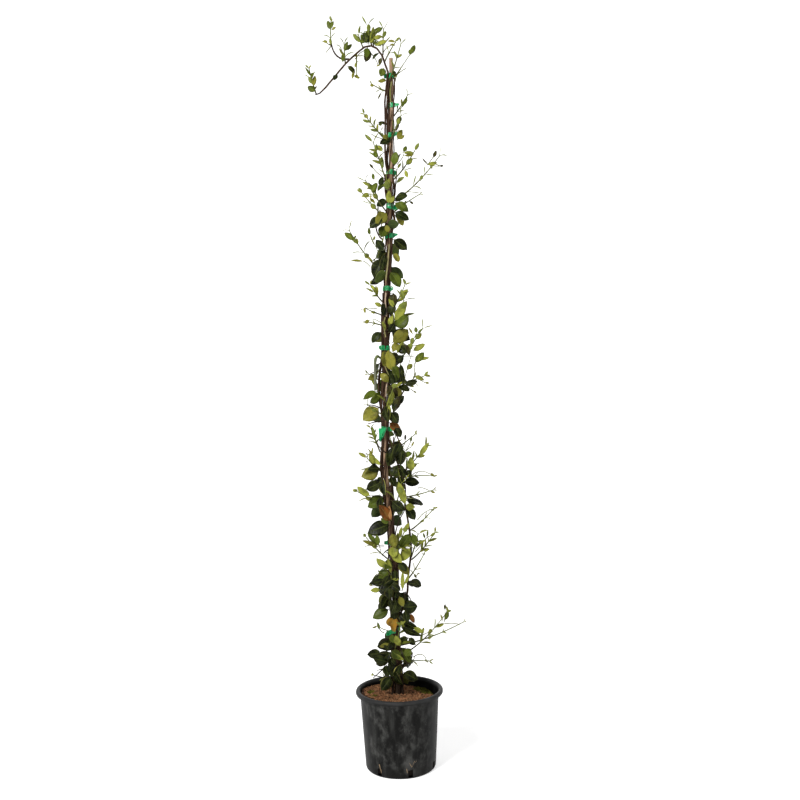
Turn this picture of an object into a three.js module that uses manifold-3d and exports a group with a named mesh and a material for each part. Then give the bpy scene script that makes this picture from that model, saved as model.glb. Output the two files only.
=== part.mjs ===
// A potted star jasmine tied up a bamboo cane.
// Millimetres, +Z up, the origin under the middle of the pot. The best side faces -Y, and +X is its right.
// An azimuth is in degrees round the cane: 0 points to -Y, 90 to +X.
import * as THREE from "three";
import { mergeVertices } from "three/addons/utils/BufferGeometryUtils.js";
import Module from "manifold-3d";

const wasm = await Module();
wasm.setup();

const gap = 0.3;

// Pot
const potHeight = 195;
const rimRadius = 110;
const rimDepth = 10;
const wallTopRadius = 99.3;
const wallFootRadius = 88;
const wallThickness = 2;
const floorTop = 5;
const padRadius = 30;
const padTop = 2;
const footRingInside = 76;
const potSides = 28;
const slotCount = 7;
const slotOffset = -36;
const slotWidth = 12;
const slotDepth = 22;
const slotBottom = 3.6;
const slotTop = 22;
const floorHoleCount = 4;
const floorHoleRadius = 5;
const floorHoleRing = 53;
const floorHoleSides = 8;

// Soil
const soilHeight = 178;
const soilSides = 24;
const soilBottom = floorTop + gap;
const soilFootRadius = 81.5;
const soilRings = [76, 52, 28, 0];
const holeGap = 0.45;

// Cane: rows of height, x and y of its axis, which is gently bowed
const caneAxis = [[2.3, -4, 2], [450, -8, -2], [800, -22, 3], [1785, 15, 0]];
const caneFootRadius = 5.8;
const caneTopRadius = 4.8;
const caneSides = 8;
const caneJointSpacing = 185;
const firstCaneJoint = 331;
const caneJointSwell = 0.25;
const caneBoreRadius = 2.4;
const caneBoreDepth = 12;

// Ties: height, how far the stems have turned round the cane there, the tab's azimuth, length and rise to the
// right in degrees, and how wide the tab's end is, as a share of the tape
const ties = [
  { height: 343, turn: 0, tab: -70, reach: 14, tilt: 15, end: 0.9 },
  { height: 563, turn: 156, tab: -80, reach: 12, tilt: 0, end: 0.6 },
  { height: 850, turn: 360, tab: 80, reach: 10, tilt: -3, end: 0.7, tail: 34 },
  { height: 1054, turn: 450, tab: -60, reach: 5, tilt: -5, end: 0.5 },
  { height: 1204, turn: 515, tab: 70, reach: 9, tilt: 0, end: 0.6 },
  { height: 1336, turn: 575, tab: 80, reach: 11, tilt: 8, end: 0.35 },
  { height: 1411, turn: 610, tab: 55, reach: 15, tilt: -10, end: 0.8 },
  { height: 1498, turn: 650, tab: 100, reach: 5, tilt: 0, end: 0.8 },
  { height: 1591, turn: 700, tab: 85, reach: 11, tilt: 15, end: 0.6 },
  { height: 1666, turn: 745, tab: 80, reach: 14, tilt: 5, end: 0.2 },
  { height: 1740, turn: 790, tab: -90, reach: 7, tilt: 0, end: 0.7 },
];
const tapeWidth = 12;
const tapeThickness = 0.8;
const tieSlack = 0.95;
const tieSteps = 10;
const tieHold = 9;
const tailWidth = 22;
const tailThickness = 1;
const tailPlace = 7;
const tailLean = 4;
const tailOverlap = 2;

// Main stems. Stem C stands off the cane between two ties, and stem A arches over at the top.
const stemGap = 0.6;
const stemSides = 5;
const stemStep = 38;
const routeStep = 8;
const footTurn = 20;
const footLift = 5;
const endTurn = 30;
const endLift = 6;
const leastLift = 2.5;
const liftRange = 5;
const stems = [
  { name: "stem_a", phase: -150, foot: 128, top: 1749, thick: 3.6, thin: 2.7, arched: true },
  { name: "stem_b", phase: -30, foot: 131, top: 1655, thick: 3.4, thin: 2.1 },
  {
    name: "stem_c",
    phase: 90,
    foot: 134,
    top: 1470,
    thick: 3.1,
    thin: 1.8,
    unturned: 360,
    sway: [[450, 90, 26], [560, 88, 40], [720, 92, 30]],
  },
];
const arch = [
  [0, -2, 1769], [-7, -3, 1791], [-20, -5, 1809], [-35, -7, 1815], [-51, -8, 1812], [-67, -8, 1800],
  [-84, -7, 1786], [-101, -5, 1771], [-118, -2, 1753], [-137, 2, 1733], [-154, 5, 1715], [-168, 7, 1703],
  [-179, 8, 1700],
];
const archEndRadius = 1.1;

// The cut side stem, from its knee down
const stubFootHeight = 1028;
const stubRoute = [[-36, -13, 1034], [-41, -15, 1027], [-42.5, -16, 1015], [-43, -17, 947]];
const stubRadii = [2.4, 3.4, 3.8, 3.4, 3.2];

// Mature leaves that are placed one by one: stem, height, azimuth, pitch, length and form
const matureLeaves = [
  ["any", 1728, -90, 10, 24, 4], ["any", 1615, -80, 25, 26, 0], ["any", 1580, -30, -10, 32, 1],
  ["any", 1515, 60, 45, 36, 2], ["any", 1470, -80, -30, 28, 1], ["any", 1430, 80, -20, 44, 0],
  ["any", 1395, 60, -10, 44, 5], ["any", 1388, 100, -50, 36, 1], ["any", 1392, -80, -35, 48, 0],
  ["any", 1364, -35, -60, 38, 4], ["any", 1328, 70, -35, 46, 0], ["any", 1285, -100, 10, 36, 3],
  ["any", 1281, -70, -60, 56, 0], ["any", 1290, 60, -30, 28, 3], ["any", 1245, 50, -45, 48, 1],
  ["any", 1230, -85, -10, 36, 5], ["any", 1095, -60, -40, 38, 1], ["any", 1095, 70, -20, 54, 0],
  ["any", 1045, 10, -55, 50, 4], ["any", 1040, 60, -50, 46, 3], ["any", 1000, 80, -60, 48, 1],
  ["any", 985, -30, -20, 30, 5], ["any", 975, 95, 0, 52, 0], ["any", 960, 50, -60, 46, 3],
  ["any", 955, 90, -30, 42, 1], ["any", 945, -85, -20, 42, 0], ["any", 905, -80, -35, 54, 4],
  ["any", 866, 80, -40, 38, 1], ["any", 812, 60, -10, 38, 3], ["any", 795, 50, -30, 50, 0],
  ["any", 752, -60, 0, 38, 5], ["any", 745, -85, -15, 50, 4], ["any", 728, -10, -60, 50, 0],
  ["any", 715, -75, -35, 48, 1], ["c", 715, 85, 0, 42, 0], ["any", 675, -80, -15, 52, 3],
  ["c", 668, 95, -5, 50, 5], ["any", 665, 50, -40, 48, 1], ["any", 690, -15, -68, 50, 4],
  ["c", 650, 60, -50, 38, 0], ["any", 610, -75, -15, 62, 0], ["any", 546, 20, -30, 44, 1],
  ["any", 520, -60, -20, 36, 0], ["any", 512, 60, -35, 42, 5], ["any", 475, 0, -70, 52, 3],
  ["any", 470, -80, -15, 48, 0], ["c", 465, 90, -15, 38, 1], ["any", 484, 40, -65, 44, 3],
  ["any", 455, -100, -25, 36, 4], ["any", 440, 70, -50, 38, 0], ["any", 420, -60, -30, 34, 5],
  ["any", 420, 10, -60, 50, 1], ["any", 425, 80, -40, 40, 4], ["any", 395, -75, -20, 48, 0],
  ["any", 375, 0, -30, 38, 4], ["any", 356, 85, -20, 48, 3], ["any", 312, -95, -20, 44, 0],
  ["any", 300, 35, -45, 48, 5], ["any", 290, -80, -35, 58, 1], ["any", 275, -50, -30, 42, 0],
  ["any", 262, 80, -25, 40, 3], ["any", 246, 10, -50, 46, 1], ["any", 240, -35, -30, 40, 5],
  ["any", 228, -15, -70, 42, 4], ["any", 236, 95, -10, 42, 0], ["any", 1350, 15, -60, 34, 1],
  ["any", 1300, -20, -65, 40, 0], ["any", 1165, 25, -55, 40, 4], ["any", 1016, -40, -60, 42, 1],
  ["any", 908, 20, -60, 44, 0], ["any", 588, 35, -55, 42, 0],
  ["any", 495, -25, -65, 46, 1], ["any", 432, -35, -60, 40, 4], ["any", 325, -10, -50, 38, 4],
];
const partnerShare = 0.3;
const backLeafRanges = [
  { from: 228, to: 700, step: 25, length: 48 },
  { from: 710, to: 1120, step: 42, length: 44 },
  { from: 1150, to: 1450, step: 56, length: 40 },
];

// Side shoots: stem, foot height, tip x, y and z, sag of the middle, leaf pairs and longest leaf.
// Those with three or more pairs are bodies of their own, and smaller twigs are one with their stem.
const sideShoots = [
  ["any", 1725, 68, -5, 1803, -12, 3, 24], ["any", 1703, -35, 5, 1723, -4, 2, 14],
  ["any", 1632, 56, 10, 1697, -10, 3, 20], ["any", 1572, -56, -5, 1644, -6, 4, 22],
  ["any", 1574, 42, -15, 1634, -6, 3, 26], ["any", 1480, -35, -12, 1572, -4, 4, 34],
  ["any", 1482, 70, -10, 1549, -14, 4, 28], ["any", 1427, 134, 10, 1541, -24, 5, 24],
  ["any", 1400, -57, -5, 1478, -8, 4, 26], ["any", 1380, -65, -20, 1442, -8, 3, 24],
  ["any", 1396, 80, -10, 1441, 4, 2, 12], ["any", 1426, -4, -34, 1484, -4, 2, 30],
  ["any", 1246, -101, 0, 1354, -22, 4, 30], ["any", 1172, -50, -10, 1213, -8, 3, 24],
  ["any", 1138, -65, 0, 1156, -3, 2, 18], ["any", 1110, -68, -5, 1121, 3, 2, 12],
  ["any", 1145, 37, -15, 1210, -6, 3, 28], ["any", 1099, 34, -22, 1172, -6, 3, 42],
  ["any", 998, 80, -10, 1102, -18, 5, 30], ["any", 960, 80, -15, 981, -8, 3, 26],
  ["any", 973, -61, 5, 990, 2, 2, 20], ["any", 888, 2, -34, 952, -4, 2, 36],
  ["any", 885, -65, -5, 914, -4, 2, 16], ["any", 792, -57, -5, 853, -8, 4, 24],
  ["any", 784, 54, -5, 835, -6, 2, 18], ["any", 720, 83, -15, 805, -16, 4, 34],
  ["c", 725, 99, -10, 729, 6, 2, 12], ["any", 742, -68, -10, 778, -6, 2, 36],
  ["any", 658, -93, -5, 693, -8, 3, 30], ["any", 632, 18, -30, 717, -6, 3, 40],
  ["c", 676, 98, -5, 694, -4, 2, 14], ["any", 519, -75, -15, 580, -10, 4, 24],
  ["c", 520, 98, -10, 586, -12, 4, 24], ["c", 593, 96, -15, 647, -8, 3, 16],
  ["c", 526, 56, -30, 588, -6, 3, 34], ["any", 534, 21, -34, 593, -4, 2, 38],
  ["c", 470, 72, -15, 539, -8, 2, 18], ["any", 279, 6, -36, 360, -6, 2, 44],
  ["any", 278, 124, -5, 385, -26, 4, 26], ["any", 303, 168, -15, 357, -14, 3, 14],
  ["any", 261, 76, -15, 266, 4, 2, 18], ["any", 221, -63, -10, 232, -2, 2, 14],
  ["any", 293, 10, 70, 372, -10, 3, 30], ["any", 395, -20, 78, 470, -10, 4, 28],
  ["any", 500, 20, 66, 560, -8, 3, 26], ["any", 625, -34, 74, 690, -10, 4, 28],
  ["any", 770, 6, 64, 835, -8, 3, 28], ["any", 912, -44, 60, 985, -8, 3, 26],
  ["any", 1085, 16, 62, 1150, -8, 3, 28], ["any", 1255, -20, 66, 1330, -10, 3, 26],
  ["any", 1450, 24, 56, 1520, -8, 3, 24], ["any", 1555, -18, 50, 1615, -6, 3, 22],
];

// Shoots on the arch: how far along it, tip x, y and z, sag, leaf pairs, longest leaf and the middle's move in x
const archShoots = [
  [0.99, -193, 4, 1765, -6, 3, 20, 0], [0.55, -134, -4, 1880, -52, 3, 18, -34],
  [0.6, -112, -18, 1818, -8, 2, 24, 0], [0.46, -72, -14, 1740, 6, 2, 14, 0],
  [0.3, -42, -12, 1866, -6, 3, 34, 0], [0.17, -2, -8, 1858, -8, 3, 32, 0],
  [0.38, -66, 4, 1848, -4, 2, 28, 0], [0.1, 28, -4, 1825, 6, 2, 20, 0], [0.28, -30, 20, 1850, -4, 3, 26, 0],
];
// Single leaves on the arch: how far along it, azimuth, pitch, length and form
const archLeaves = [
  [0.49, 60, 10, 26, 4], [0.34, -20, -70, 28, 0], [0.2, -60, -30, 26, 1], [0.72, -40, -50, 20, 5],
];

// Leaf forms: half width over length, arch, fold and twist in radians, and wave over length
const matureForms = [
  { width: 0.33, arch: 0.4, fold: 0.22, twist: 0.05, wave: 0 },
  { width: 0.31, arch: 0.85, fold: 0.32, twist: 0.25, wave: 0 },
  { width: 0.32, arch: -0.3, fold: 0.28, twist: -0.2, wave: 0 },
  { width: 0.33, arch: 1.5, fold: 0.42, twist: 0.5, wave: 0.03 },
  { width: 0.37, arch: 0.2, fold: 0.12, twist: -0.1, wave: 0.02 },
  { width: 0.31, arch: 0.6, fold: 0.2, twist: -0.5, wave: 0.04 },
];
const youngForms = [
  { width: 0.23, arch: 0.35, fold: 0.3, twist: 0.1, wave: 0 },
  { width: 0.2, arch: 0.7, fold: 0.35, twist: -0.2, wave: 0 },
  { width: 0.25, arch: -0.25, fold: 0.25, twist: 0.15, wave: 0 },
  { width: 0.21, arch: 0.1, fold: 0.4, twist: 0.3, wave: 0 },
];
const petioleShare = 0.08;
const footStandOff = 1;
const matureHalfNode = 1.6;
const youngHalfNode = 1;
const steepestPitch = 80;
const matureStations = [0.25, 0.52, 0.8];
const youngStations = [0.36, 0.7];
const matureThickness = 1.3;
const youngThickness = 1.1;

// Shoot stems
const shootSides = 4;
const shootStep = 70;
const shootPoints = 12;
const shootFootRadius = 1.4;
const shootTipRadius = 0.75;
const leastShootPairs = 3;
const mendTolerance = 0.01;
// How much nearer the feet of some shoots stand, where a flat side of their stem faces them
const seats = { shoot_09: 1.29, shoot_12: 1.3, shoot_19: 0.78, shoot_30: 0.76, shoot_34: 0.81, shoot_35: 1.24 };

const up = new THREE.Vector3(0, 0, 1);
const right = new THREE.Vector3(1, 0, 0);

let draw = 20240;
function random() {
  draw = (draw * 1664525 + 1013904223) % 4294967296;
  return draw / 4294967296;
}

function radians(degrees) {
  return (degrees * Math.PI) / 180;
}

function outward(azimuth) {
  return new THREE.Vector3(Math.sin(radians(azimuth)), -Math.cos(radians(azimuth)), 0);
}

// A column's value at a height. The rows' first column is the height, and each row is a level spot.
function eased(rows, height, column) {
  const last = rows.length - 1;
  if (height <= rows[0][0]) return rows[0][column];
  if (height >= rows[last][0]) return rows[last][column];
  const i = rows.findIndex((row) => row[0] > height) - 1;
  const t = (height - rows[i][0]) / (rows[i + 1][0] - rows[i][0]);
  return rows[i][column] + (rows[i + 1][column] - rows[i][column]) * t * t * (3 - 2 * t);
}

function caneAt(height) {
  return new THREE.Vector3(eased(caneAxis, height, 1), eased(caneAxis, height, 2), height);
}

const caneFoot = caneAxis[0][0];
const caneTop = caneAxis[caneAxis.length - 1][0];

function caneRadiusAt(height) {
  return caneFootRadius + ((caneTopRadius - caneFootRadius) * (height - caneFoot)) / (caneTop - caneFoot);
}

// Rows of height, azimuth and lift off the cane, which is 0 at every tie that holds the stem
function routeOf(stem) {
  const turned = (tie) => stem.phase + Math.max(0, tie.turn - (stem.unturned ?? 0));
  const swayFoot = stem.sway ? ties[0].height : stem.top;
  const swayTop = stem.sway ? ties[2].height : stem.top;
  const footRow = [turned(ties[0]) - footTurn, footLift];
  const rows = [[stem.foot, ...footRow], [potHeight + 5, ...footRow]];
  let below = null;
  for (const tie of ties) {
    if (tie.height > stem.top || (tie.height > swayFoot && tie.height < swayTop)) continue;
    const lift = leastLift + liftRange * random();
    const swaying = below && below.height === swayFoot && stem.sway;
    if (swaying) rows.push(...stem.sway);
    else if (below) rows.push([(below.height + tie.height) / 2, (turned(below) + turned(tie)) / 2, lift]);
    rows.push([tie.height - tieHold, turned(tie), 0], [tie.height + tieHold, turned(tie), 0]);
    below = tie;
  }
  if (below.height + tieHold < stem.top) rows.push([stem.top, turned(below) + endTurn, endLift]);
  return rows;
}
for (const stem of stems) stem.route = routeOf(stem);

function stemRadiusAt(stem, height) {
  return stem.thick + ((stem.thin - stem.thick) * (height - stem.foot)) / (stem.top - stem.foot);
}

function stemAt(stem, height) {
  const reach = caneRadiusAt(height) + stemRadiusAt(stem, height) + stemGap + eased(stem.route, height, 2);
  return caneAt(height).addScaledVector(outward(eased(stem.route, height, 1)), reach);
}

// A line is points with a radius at each and the length from the first point to each
function lineOf(points, radii) {
  const lengths = [0];
  for (let i = 1; i < points.length; i++) lengths.push(lengths[i - 1] + points[i].distanceTo(points[i - 1]));
  return { points, radii, lengths, total: lengths[lengths.length - 1] };
}

function segmentOf(line, length) {
  const i = Math.max(1, line.lengths.findIndex((reached) => reached >= length));
  const share = (length - line.lengths[i - 1]) / (line.lengths[i] - line.lengths[i - 1]);
  return { i, share };
}

function pointAlong(line, length) {
  const { i, share } = segmentOf(line, Math.min(length, line.total));
  return line.points[i - 1].clone().lerp(line.points[i], share);
}

function radiusAlong(line, length) {
  const { i, share } = segmentOf(line, Math.min(length, line.total));
  return line.radii[i - 1] + (line.radii[i] - line.radii[i - 1]) * share;
}

function directionAlong(line, length) {
  return pointAlong(line, length + 3).sub(pointAlong(line, length - 3)).normalize();
}

// The stem's line, close enough to follow its turns. Its kept lengths always get a ring of the solid.
function growLine(stem) {
  const points = [];
  const radii = [];
  const kept = [];
  const steps = Math.ceil((stem.top - stem.foot) / routeStep);
  for (let k = 0; k <= steps; k++) {
    const height = stem.foot + ((stem.top - stem.foot) * k) / steps;
    points.push(stemAt(stem, height));
    radii.push(stemRadiusAt(stem, height));
  }
  if (stem.arched) {
    arch.forEach((place, i) => {
      points.push(new THREE.Vector3(...place));
      radii.push(stem.thin + ((archEndRadius - stem.thin) * (i + 1)) / arch.length);
    });
  }
  stem.line = lineOf(points, radii);
  stem.archStart = stem.line.lengths[steps];
  for (const [height, , lift] of stem.route) if (lift === 0) kept.push(lengthAtHeight(stem, height));
  for (let i = 1; i < arch.length && stem.arched; i++) kept.push(stem.line.lengths[steps + i]);
  stem.kept = kept;
}

// The length along a stem at which it reaches a height, below its arch
function lengthAtHeight(stem, height) {
  const { points, lengths } = stem.line;
  const i = points.findIndex((point) => point.z >= height);
  if (i < 1) return i === 0 ? 0 : stem.line.total;
  const share = (height - points[i - 1].z) / (points[i].z - points[i - 1].z);
  return lengths[i - 1] + (lengths[i] - lengths[i - 1]) * share;
}

function lengthOnArch(share) {
  return stems[0].archStart + (stems[0].line.total - stems[0].archStart) * share;
}

for (const stem of stems) growLine(stem);

// The stem that carries something on the given side: stem C by name, or the outermost one near the cane
const mostLift = 12;
const deepestFoot = 60;
function stemFor(key, height, direction) {
  if (key === "c") return stems[2];
  let best = null;
  let bestReach = -Infinity;
  for (const stem of stems) {
    const reaches = height <= stem.top && height >= stem.foot + deepestFoot;
    if (!reaches || eased(stem.route, height, 2) > mostLift) continue;
    const reach = stemAt(stem, height).sub(caneAt(height)).dot(direction);
    if (reach > bestReach) {
      best = stem;
      bestReach = reach;
    }
  }
  return best;
}

function solidOf(positions, triangles) {
  const vertProperties = Float32Array.from(positions.flatMap((p) => [p.x, p.y, p.z]));
  const triVerts = Uint32Array.from(triangles);
  return new wasm.Manifold(new wasm.Mesh({ numProp: 3, vertProperties, triVerts }));
}

function solidFromGeometry(geometry) {
  const bare = geometry.index ? geometry.toNonIndexed() : geometry.clone();
  bare.deleteAttribute("normal");
  bare.deleteAttribute("uv");
  const merged = mergeVertices(bare, 1e-3);
  return new wasm.Manifold(
    new wasm.Mesh({
      numProp: 3,
      vertProperties: merged.attributes.position.array,
      triVerts: new Uint32Array(merged.index.array),
    }),
  );
}

function meshOf(name, solid, material) {
  const made = solid.getMesh();
  const geometry = new THREE.BufferGeometry();
  geometry.setAttribute("position", new THREE.BufferAttribute(made.vertProperties, 3));
  geometry.setIndex(new THREE.BufferAttribute(made.triVerts, 1));
  const mesh = new THREE.Mesh(geometry, material);
  mesh.name = name;
  return mesh;
}

// The corners of a ring about each point, with the rings' turn carried along the line
function ringsAlong(points, radii, sides) {
  const rings = [];
  let across = null;
  points.forEach((point, i) => {
    const ahead = points[Math.min(i + 1, points.length - 1)];
    const behind = points[Math.max(i - 1, 0)];
    const along = ahead.clone().sub(behind).normalize();
    if (!across) across = Math.abs(along.x) < 0.9 ? right.clone() : up.clone();
    across.addScaledVector(along, -across.dot(along)).normalize();
    const third = along.clone().cross(across);
    const corners = [];
    for (let k = 0; k < sides; k++) {
      const angle = (k * 2 * Math.PI) / sides;
      const corner = point.clone().addScaledVector(across, radii[i] * Math.cos(angle));
      corners.push(corner.addScaledVector(third, radii[i] * Math.sin(angle)));
    }
    rings.push({ corners, across: across.clone(), third });
  });
  return rings;
}

function endCaps(count, sides) {
  const triangles = [];
  const last = (count - 1) * sides;
  for (let k = 1; k + 1 < sides; k++) triangles.push(0, k + 1, k, last, last + k, last + k + 1);
  return triangles;
}

// A closed tube with flat ends along points, with its own radius at each
function tube(points, radii, sides) {
  const triangles = endCaps(points.length, sides);
  for (let i = 0; i + 1 < points.length; i++) {
    for (let k = 0; k < sides; k++) {
      const a = i * sides + k;
      const b = i * sides + ((k + 1) % sides);
      triangles.push(a, b, b + sides, a, b + sides, a + sides);
    }
  }
  return solidOf(ringsAlong(points, radii, sides).flatMap((ring) => ring.corners), triangles);
}

function halfWidth(form, u) {
  const v = Math.max(0, (u - petioleShare) / (1 - petioleShare));
  return form.width * Math.sin(Math.PI * v ** 0.8) ** 0.75;
}

// A point of a blade of length 1: u runs along it, v from edge to edge (-1 to 1), rise is off its middle.
// It gives the distances along the leaf's axis, to its side and along its normal.
function bladePoint(form, u, v, rise) {
  const bend = form.arch * u;
  const twist = form.twist * u;
  const half = halfWidth(form, u);
  const flat = v * half * Math.cos(form.fold);
  const wave = form.wave * Math.sin(u * 2 * Math.PI * 1.5) * v;
  const high = Math.abs(v) * half * Math.sin(form.fold) + wave + rise;
  const side = flat * Math.cos(twist) - high * Math.sin(twist);
  const height = flat * Math.sin(twist) + high * Math.cos(twist);
  return [
    Math.sin(bend) / form.arch + height * Math.sin(bend),
    side,
    (Math.cos(bend) - 1) / form.arch + height * Math.cos(bend),
  ];
}

function placed(leaf, [along, side, height]) {
  const sideways = leaf.normal.clone().cross(leaf.axis);
  return leaf.foot
    .clone()
    .addScaledVector(leaf.axis, along * leaf.length)
    .addScaledVector(sideways, side * leaf.length)
    .addScaledVector(leaf.normal, height * leaf.length);
}

// The corners of a blade's sections, from its foot to its tip, and the tip itself. A mature leaf has a rib
// above and below, a young one only below. Seen from the tip, the corners go round to the left.
function bladeSections(leaf) {
  const thickness = (leaf.mature ? matureThickness : youngThickness) / leaf.length;
  const drop = leaf.mature ? -thickness / 2 : -thickness;
  const sections = (leaf.mature ? matureStations : youngStations).map((u) => {
    const spots = [[-1, 0], [0, drop], [1, 0]];
    if (leaf.mature) spots.push([0, thickness / 2]);
    return spots.map(([v, rise]) => placed(leaf, bladePoint(leaf.form, u, v, rise)));
  });
  return { sections, tip: placed(leaf, bladePoint(leaf.form, 1, 0, 0)) };
}

// The turn of the second loop that brings its corners nearest to those of the first
function bestTurn(first, second) {
  let best = 0;
  let least = Infinity;
  for (let turn = 0; turn < first.length; turn++) {
    let sum = 0;
    first.forEach((corner, k) => {
      sum += corner.distanceToSquared(second[(k + turn) % second.length]);
    });
    if (sum >= least) continue;
    least = sum;
    best = turn;
  }
  return best;
}

// A stem and its leaves as one closed surface. Two rings stand close together at each leaf node, and a leaf
// starts from the corners of the facet between them that faces its way. Both faces of a blade are split alike.
function leafyStem(line, sides, leaves, kept, step, halfNode) {
  const nodes = [];
  for (const leaf of [...leaves].sort((a, b) => a.at - b.at)) {
    const at = Math.min(leaf.at, line.total - halfNode);
    const last = nodes[nodes.length - 1];
    if (last && at - last.at < 3 * halfNode) last.leaves.push(leaf);
    else nodes.push({ at, leaves: [leaf] });
  }
  const isFree = (length) => nodes.every((node) => Math.abs(node.at - length) > 2 * halfNode);
  const inside = kept.filter((length) => length > 1 && length < line.total - 1 && isFree(length));
  const places = isFree(line.total) ? [0, line.total, ...inside] : [0, ...inside];
  for (const node of nodes) places.push(node.at - halfNode, node.at + halfNode);
  places.sort((a, b) => a - b);
  for (let i = places.length - 1; i > 0; i--) {
    const [from, reach] = [places[i - 1], places[i] - places[i - 1]];
    const parts = Math.ceil(reach / step);
    for (let k = parts - 1; k > 0; k--) places.splice(i, 0, from + (reach * k) / parts);
  }
  const points = places.map((length) => pointAlong(line, length));
  const radii = places.map((length) => radiusAlong(line, length));
  const rings = ringsAlong(points, radii, sides);
  const positions = rings.flatMap((ring) => ring.corners);
  const triangles = endCaps(places.length, sides);
  for (let i = 0; i + 1 < places.length; i++) {
    const facets = new Map();
    const node = nodes.find(({ at }) => places[i] < at && places[i + 1] > at);
    for (const leaf of node ? node.leaves : []) {
      const angle = Math.atan2(leaf.axis.dot(rings[i].third), leaf.axis.dot(rings[i].across));
      const facing = Math.floor((angle / (2 * Math.PI)) * sides + sides);
      const nearest = [0, 1, -1, 2, -2, 3].map((turn) => (facing + turn + sides) % sides);
      facets.set(nearest.find((k) => !facets.has(k)), leaf);
    }
    for (let k = 0; k < sides; k++) {
      const a = i * sides + k;
      const b = i * sides + ((k + 1) % sides);
      const leaf = facets.get(k);
      if (!leaf) triangles.push(a, b, b + sides, a, b + sides, a + sides);
      else if (leaf.mature) addBlade(positions, triangles, [a, b, b + sides, a + sides], leaf);
      else {
        triangles.push(a, b + sides, a + sides);
        addBlade(positions, triangles, [a, b, b + sides], leaf);
      }
    }
  }
  return solidOf(positions, triangles);
}

function addBlade(positions, triangles, base, leaf) {
  const { sections, tip } = bladeSections(leaf);
  const n = base.length;
  const turn = bestTurn(base.map((index) => positions[index]), sections[0]);
  const start = positions.length;
  positions.push(...sections.flat(), tip);
  for (let k = 0; k < n; k++) {
    const [a, b] = [base[k], base[(k + 1) % n]];
    const [c, d] = [start + ((k + turn) % n), start + ((k + 1 + turn) % n)];
    triangles.push(a, b, d, a, d, c);
  }
  for (let i = 0; i + 1 < sections.length; i++) {
    const a = start + i * n;
    const b = a + n;
    triangles.push(a, a + 1, b + 1, a, b + 1, b);
    triangles.push(a + 2, b + 1, a + 1, a + 2, b + 2, b + 1);
    if (leaf.mature) {
      triangles.push(a + 2, a + 3, b + 3, a + 2, b + 3, b + 2);
      triangles.push(a, b + 3, a + 3, a, b, b + 3);
    } else triangles.push(a, b + 2, a + 2, a, b, b + 2);
  }
  const end = positions.length - 1 - n;
  for (let k = 0; k < n; k++) triangles.push(end + k, end + ((k + 1) % n), positions.length - 1);
}

// Clear space: everything is covered with small beads, and a new leaf or shoot keeps clear of those of others

const cellSize = 12;
const matureBead = { radius: 2.4, along: 3.4, across: 3.2 };
const youngBead = { radius: 2, along: 3, across: 2.8 };
const petioleBead = 2.2;
const tieBead = 2.8;
const tieBeadLevels = [-4, 0, 4];
const tailBeads = { asides: [-9, 0, 9], drops: [8, 18, 28] };
const beadsFrom = 0.15;
const edgeBeadAt = 0.85;
// How far from a leaf's foot the beads of its own stem or shoot, and of leaves on it, don't count
const stemReach = 12;
const shootReach = 8;
const bladeReach = 5;
const cells = new Map();

function cellOf(value) {
  return Math.floor(value / cellSize);
}

function addBead(centre, radius, owner, reach) {
  const key = [cellOf(centre.x), cellOf(centre.y), cellOf(centre.z)].join();
  if (!cells.has(key)) cells.set(key, []);
  cells.get(key).push({ centre, radius, owner, reach });
}

// Whether a bead touches one already there. Those of its owner don't count within their reach of the foot.
function blocked(centre, radius, owner, foot) {
  const [x, y, z] = [cellOf(centre.x), cellOf(centre.y), cellOf(centre.z)];
  for (let i = x - 1; i <= x + 1; i++) {
    for (let j = y - 1; j <= y + 1; j++) {
      for (let k = z - 1; k <= z + 1; k++) {
        for (const bead of cells.get([i, j, k].join()) ?? []) {
          if (bead.centre.distanceTo(centre) >= bead.radius + radius) continue;
          if (bead.owner === owner && bead.centre.distanceTo(foot) < bead.reach) continue;
          return true;
        }
      }
    }
  }
  return false;
}

function beadLine(points, radii, owner, reach) {
  for (let i = 0; i + 1 < points.length; i++) {
    const steps = Math.max(1, Math.ceil(points[i].distanceTo(points[i + 1]) / 4));
    for (let k = 0; k < steps; k++) {
      const radius = radii[i] + ((radii[i + 1] - radii[i]) * k) / steps;
      addBead(points[i].clone().lerp(points[i + 1], k / steps), radius + 0.8, owner, reach);
    }
  }
}

function bladeBeads(leaf) {
  const size = leaf.mature ? matureBead : youngBead;
  const beads = [0, petioleShare].map((u) => {
    return { centre: placed(leaf, bladePoint(leaf.form, u, 0, 0)), radius: petioleBead };
  });
  const along = Math.max(3, Math.ceil(leaf.length / size.along));
  for (let i = 0; i <= along; i++) {
    const u = beadsFrom + ((1 - beadsFrom) * i) / along;
    const across = Math.max(1, Math.round((halfWidth(leaf.form, u) * 2 * leaf.length) / size.across));
    for (let k = 0; k < across; k++) {
      const v = across === 1 ? 0 : (2 * k) / (across - 1) - 1;
      beads.push({ centre: placed(leaf, bladePoint(leaf.form, u, v * edgeBeadAt, 0)), radius: size.radius });
    }
  }
  return beads;
}

function settle(leaf) {
  const beads = bladeBeads(leaf);
  if (beads.some((bead) => blocked(bead.centre, bead.radius, leaf.owner, leaf.foot))) return false;
  for (const bead of beads) addBead(bead.centre, bead.radius, leaf.owner, bladeReach);
  return true;
}

// Where the stems, the cane and the ties run

for (const stem of stems) beadLine(stem.line.points, stem.line.radii, stem.name, stemReach);

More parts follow.
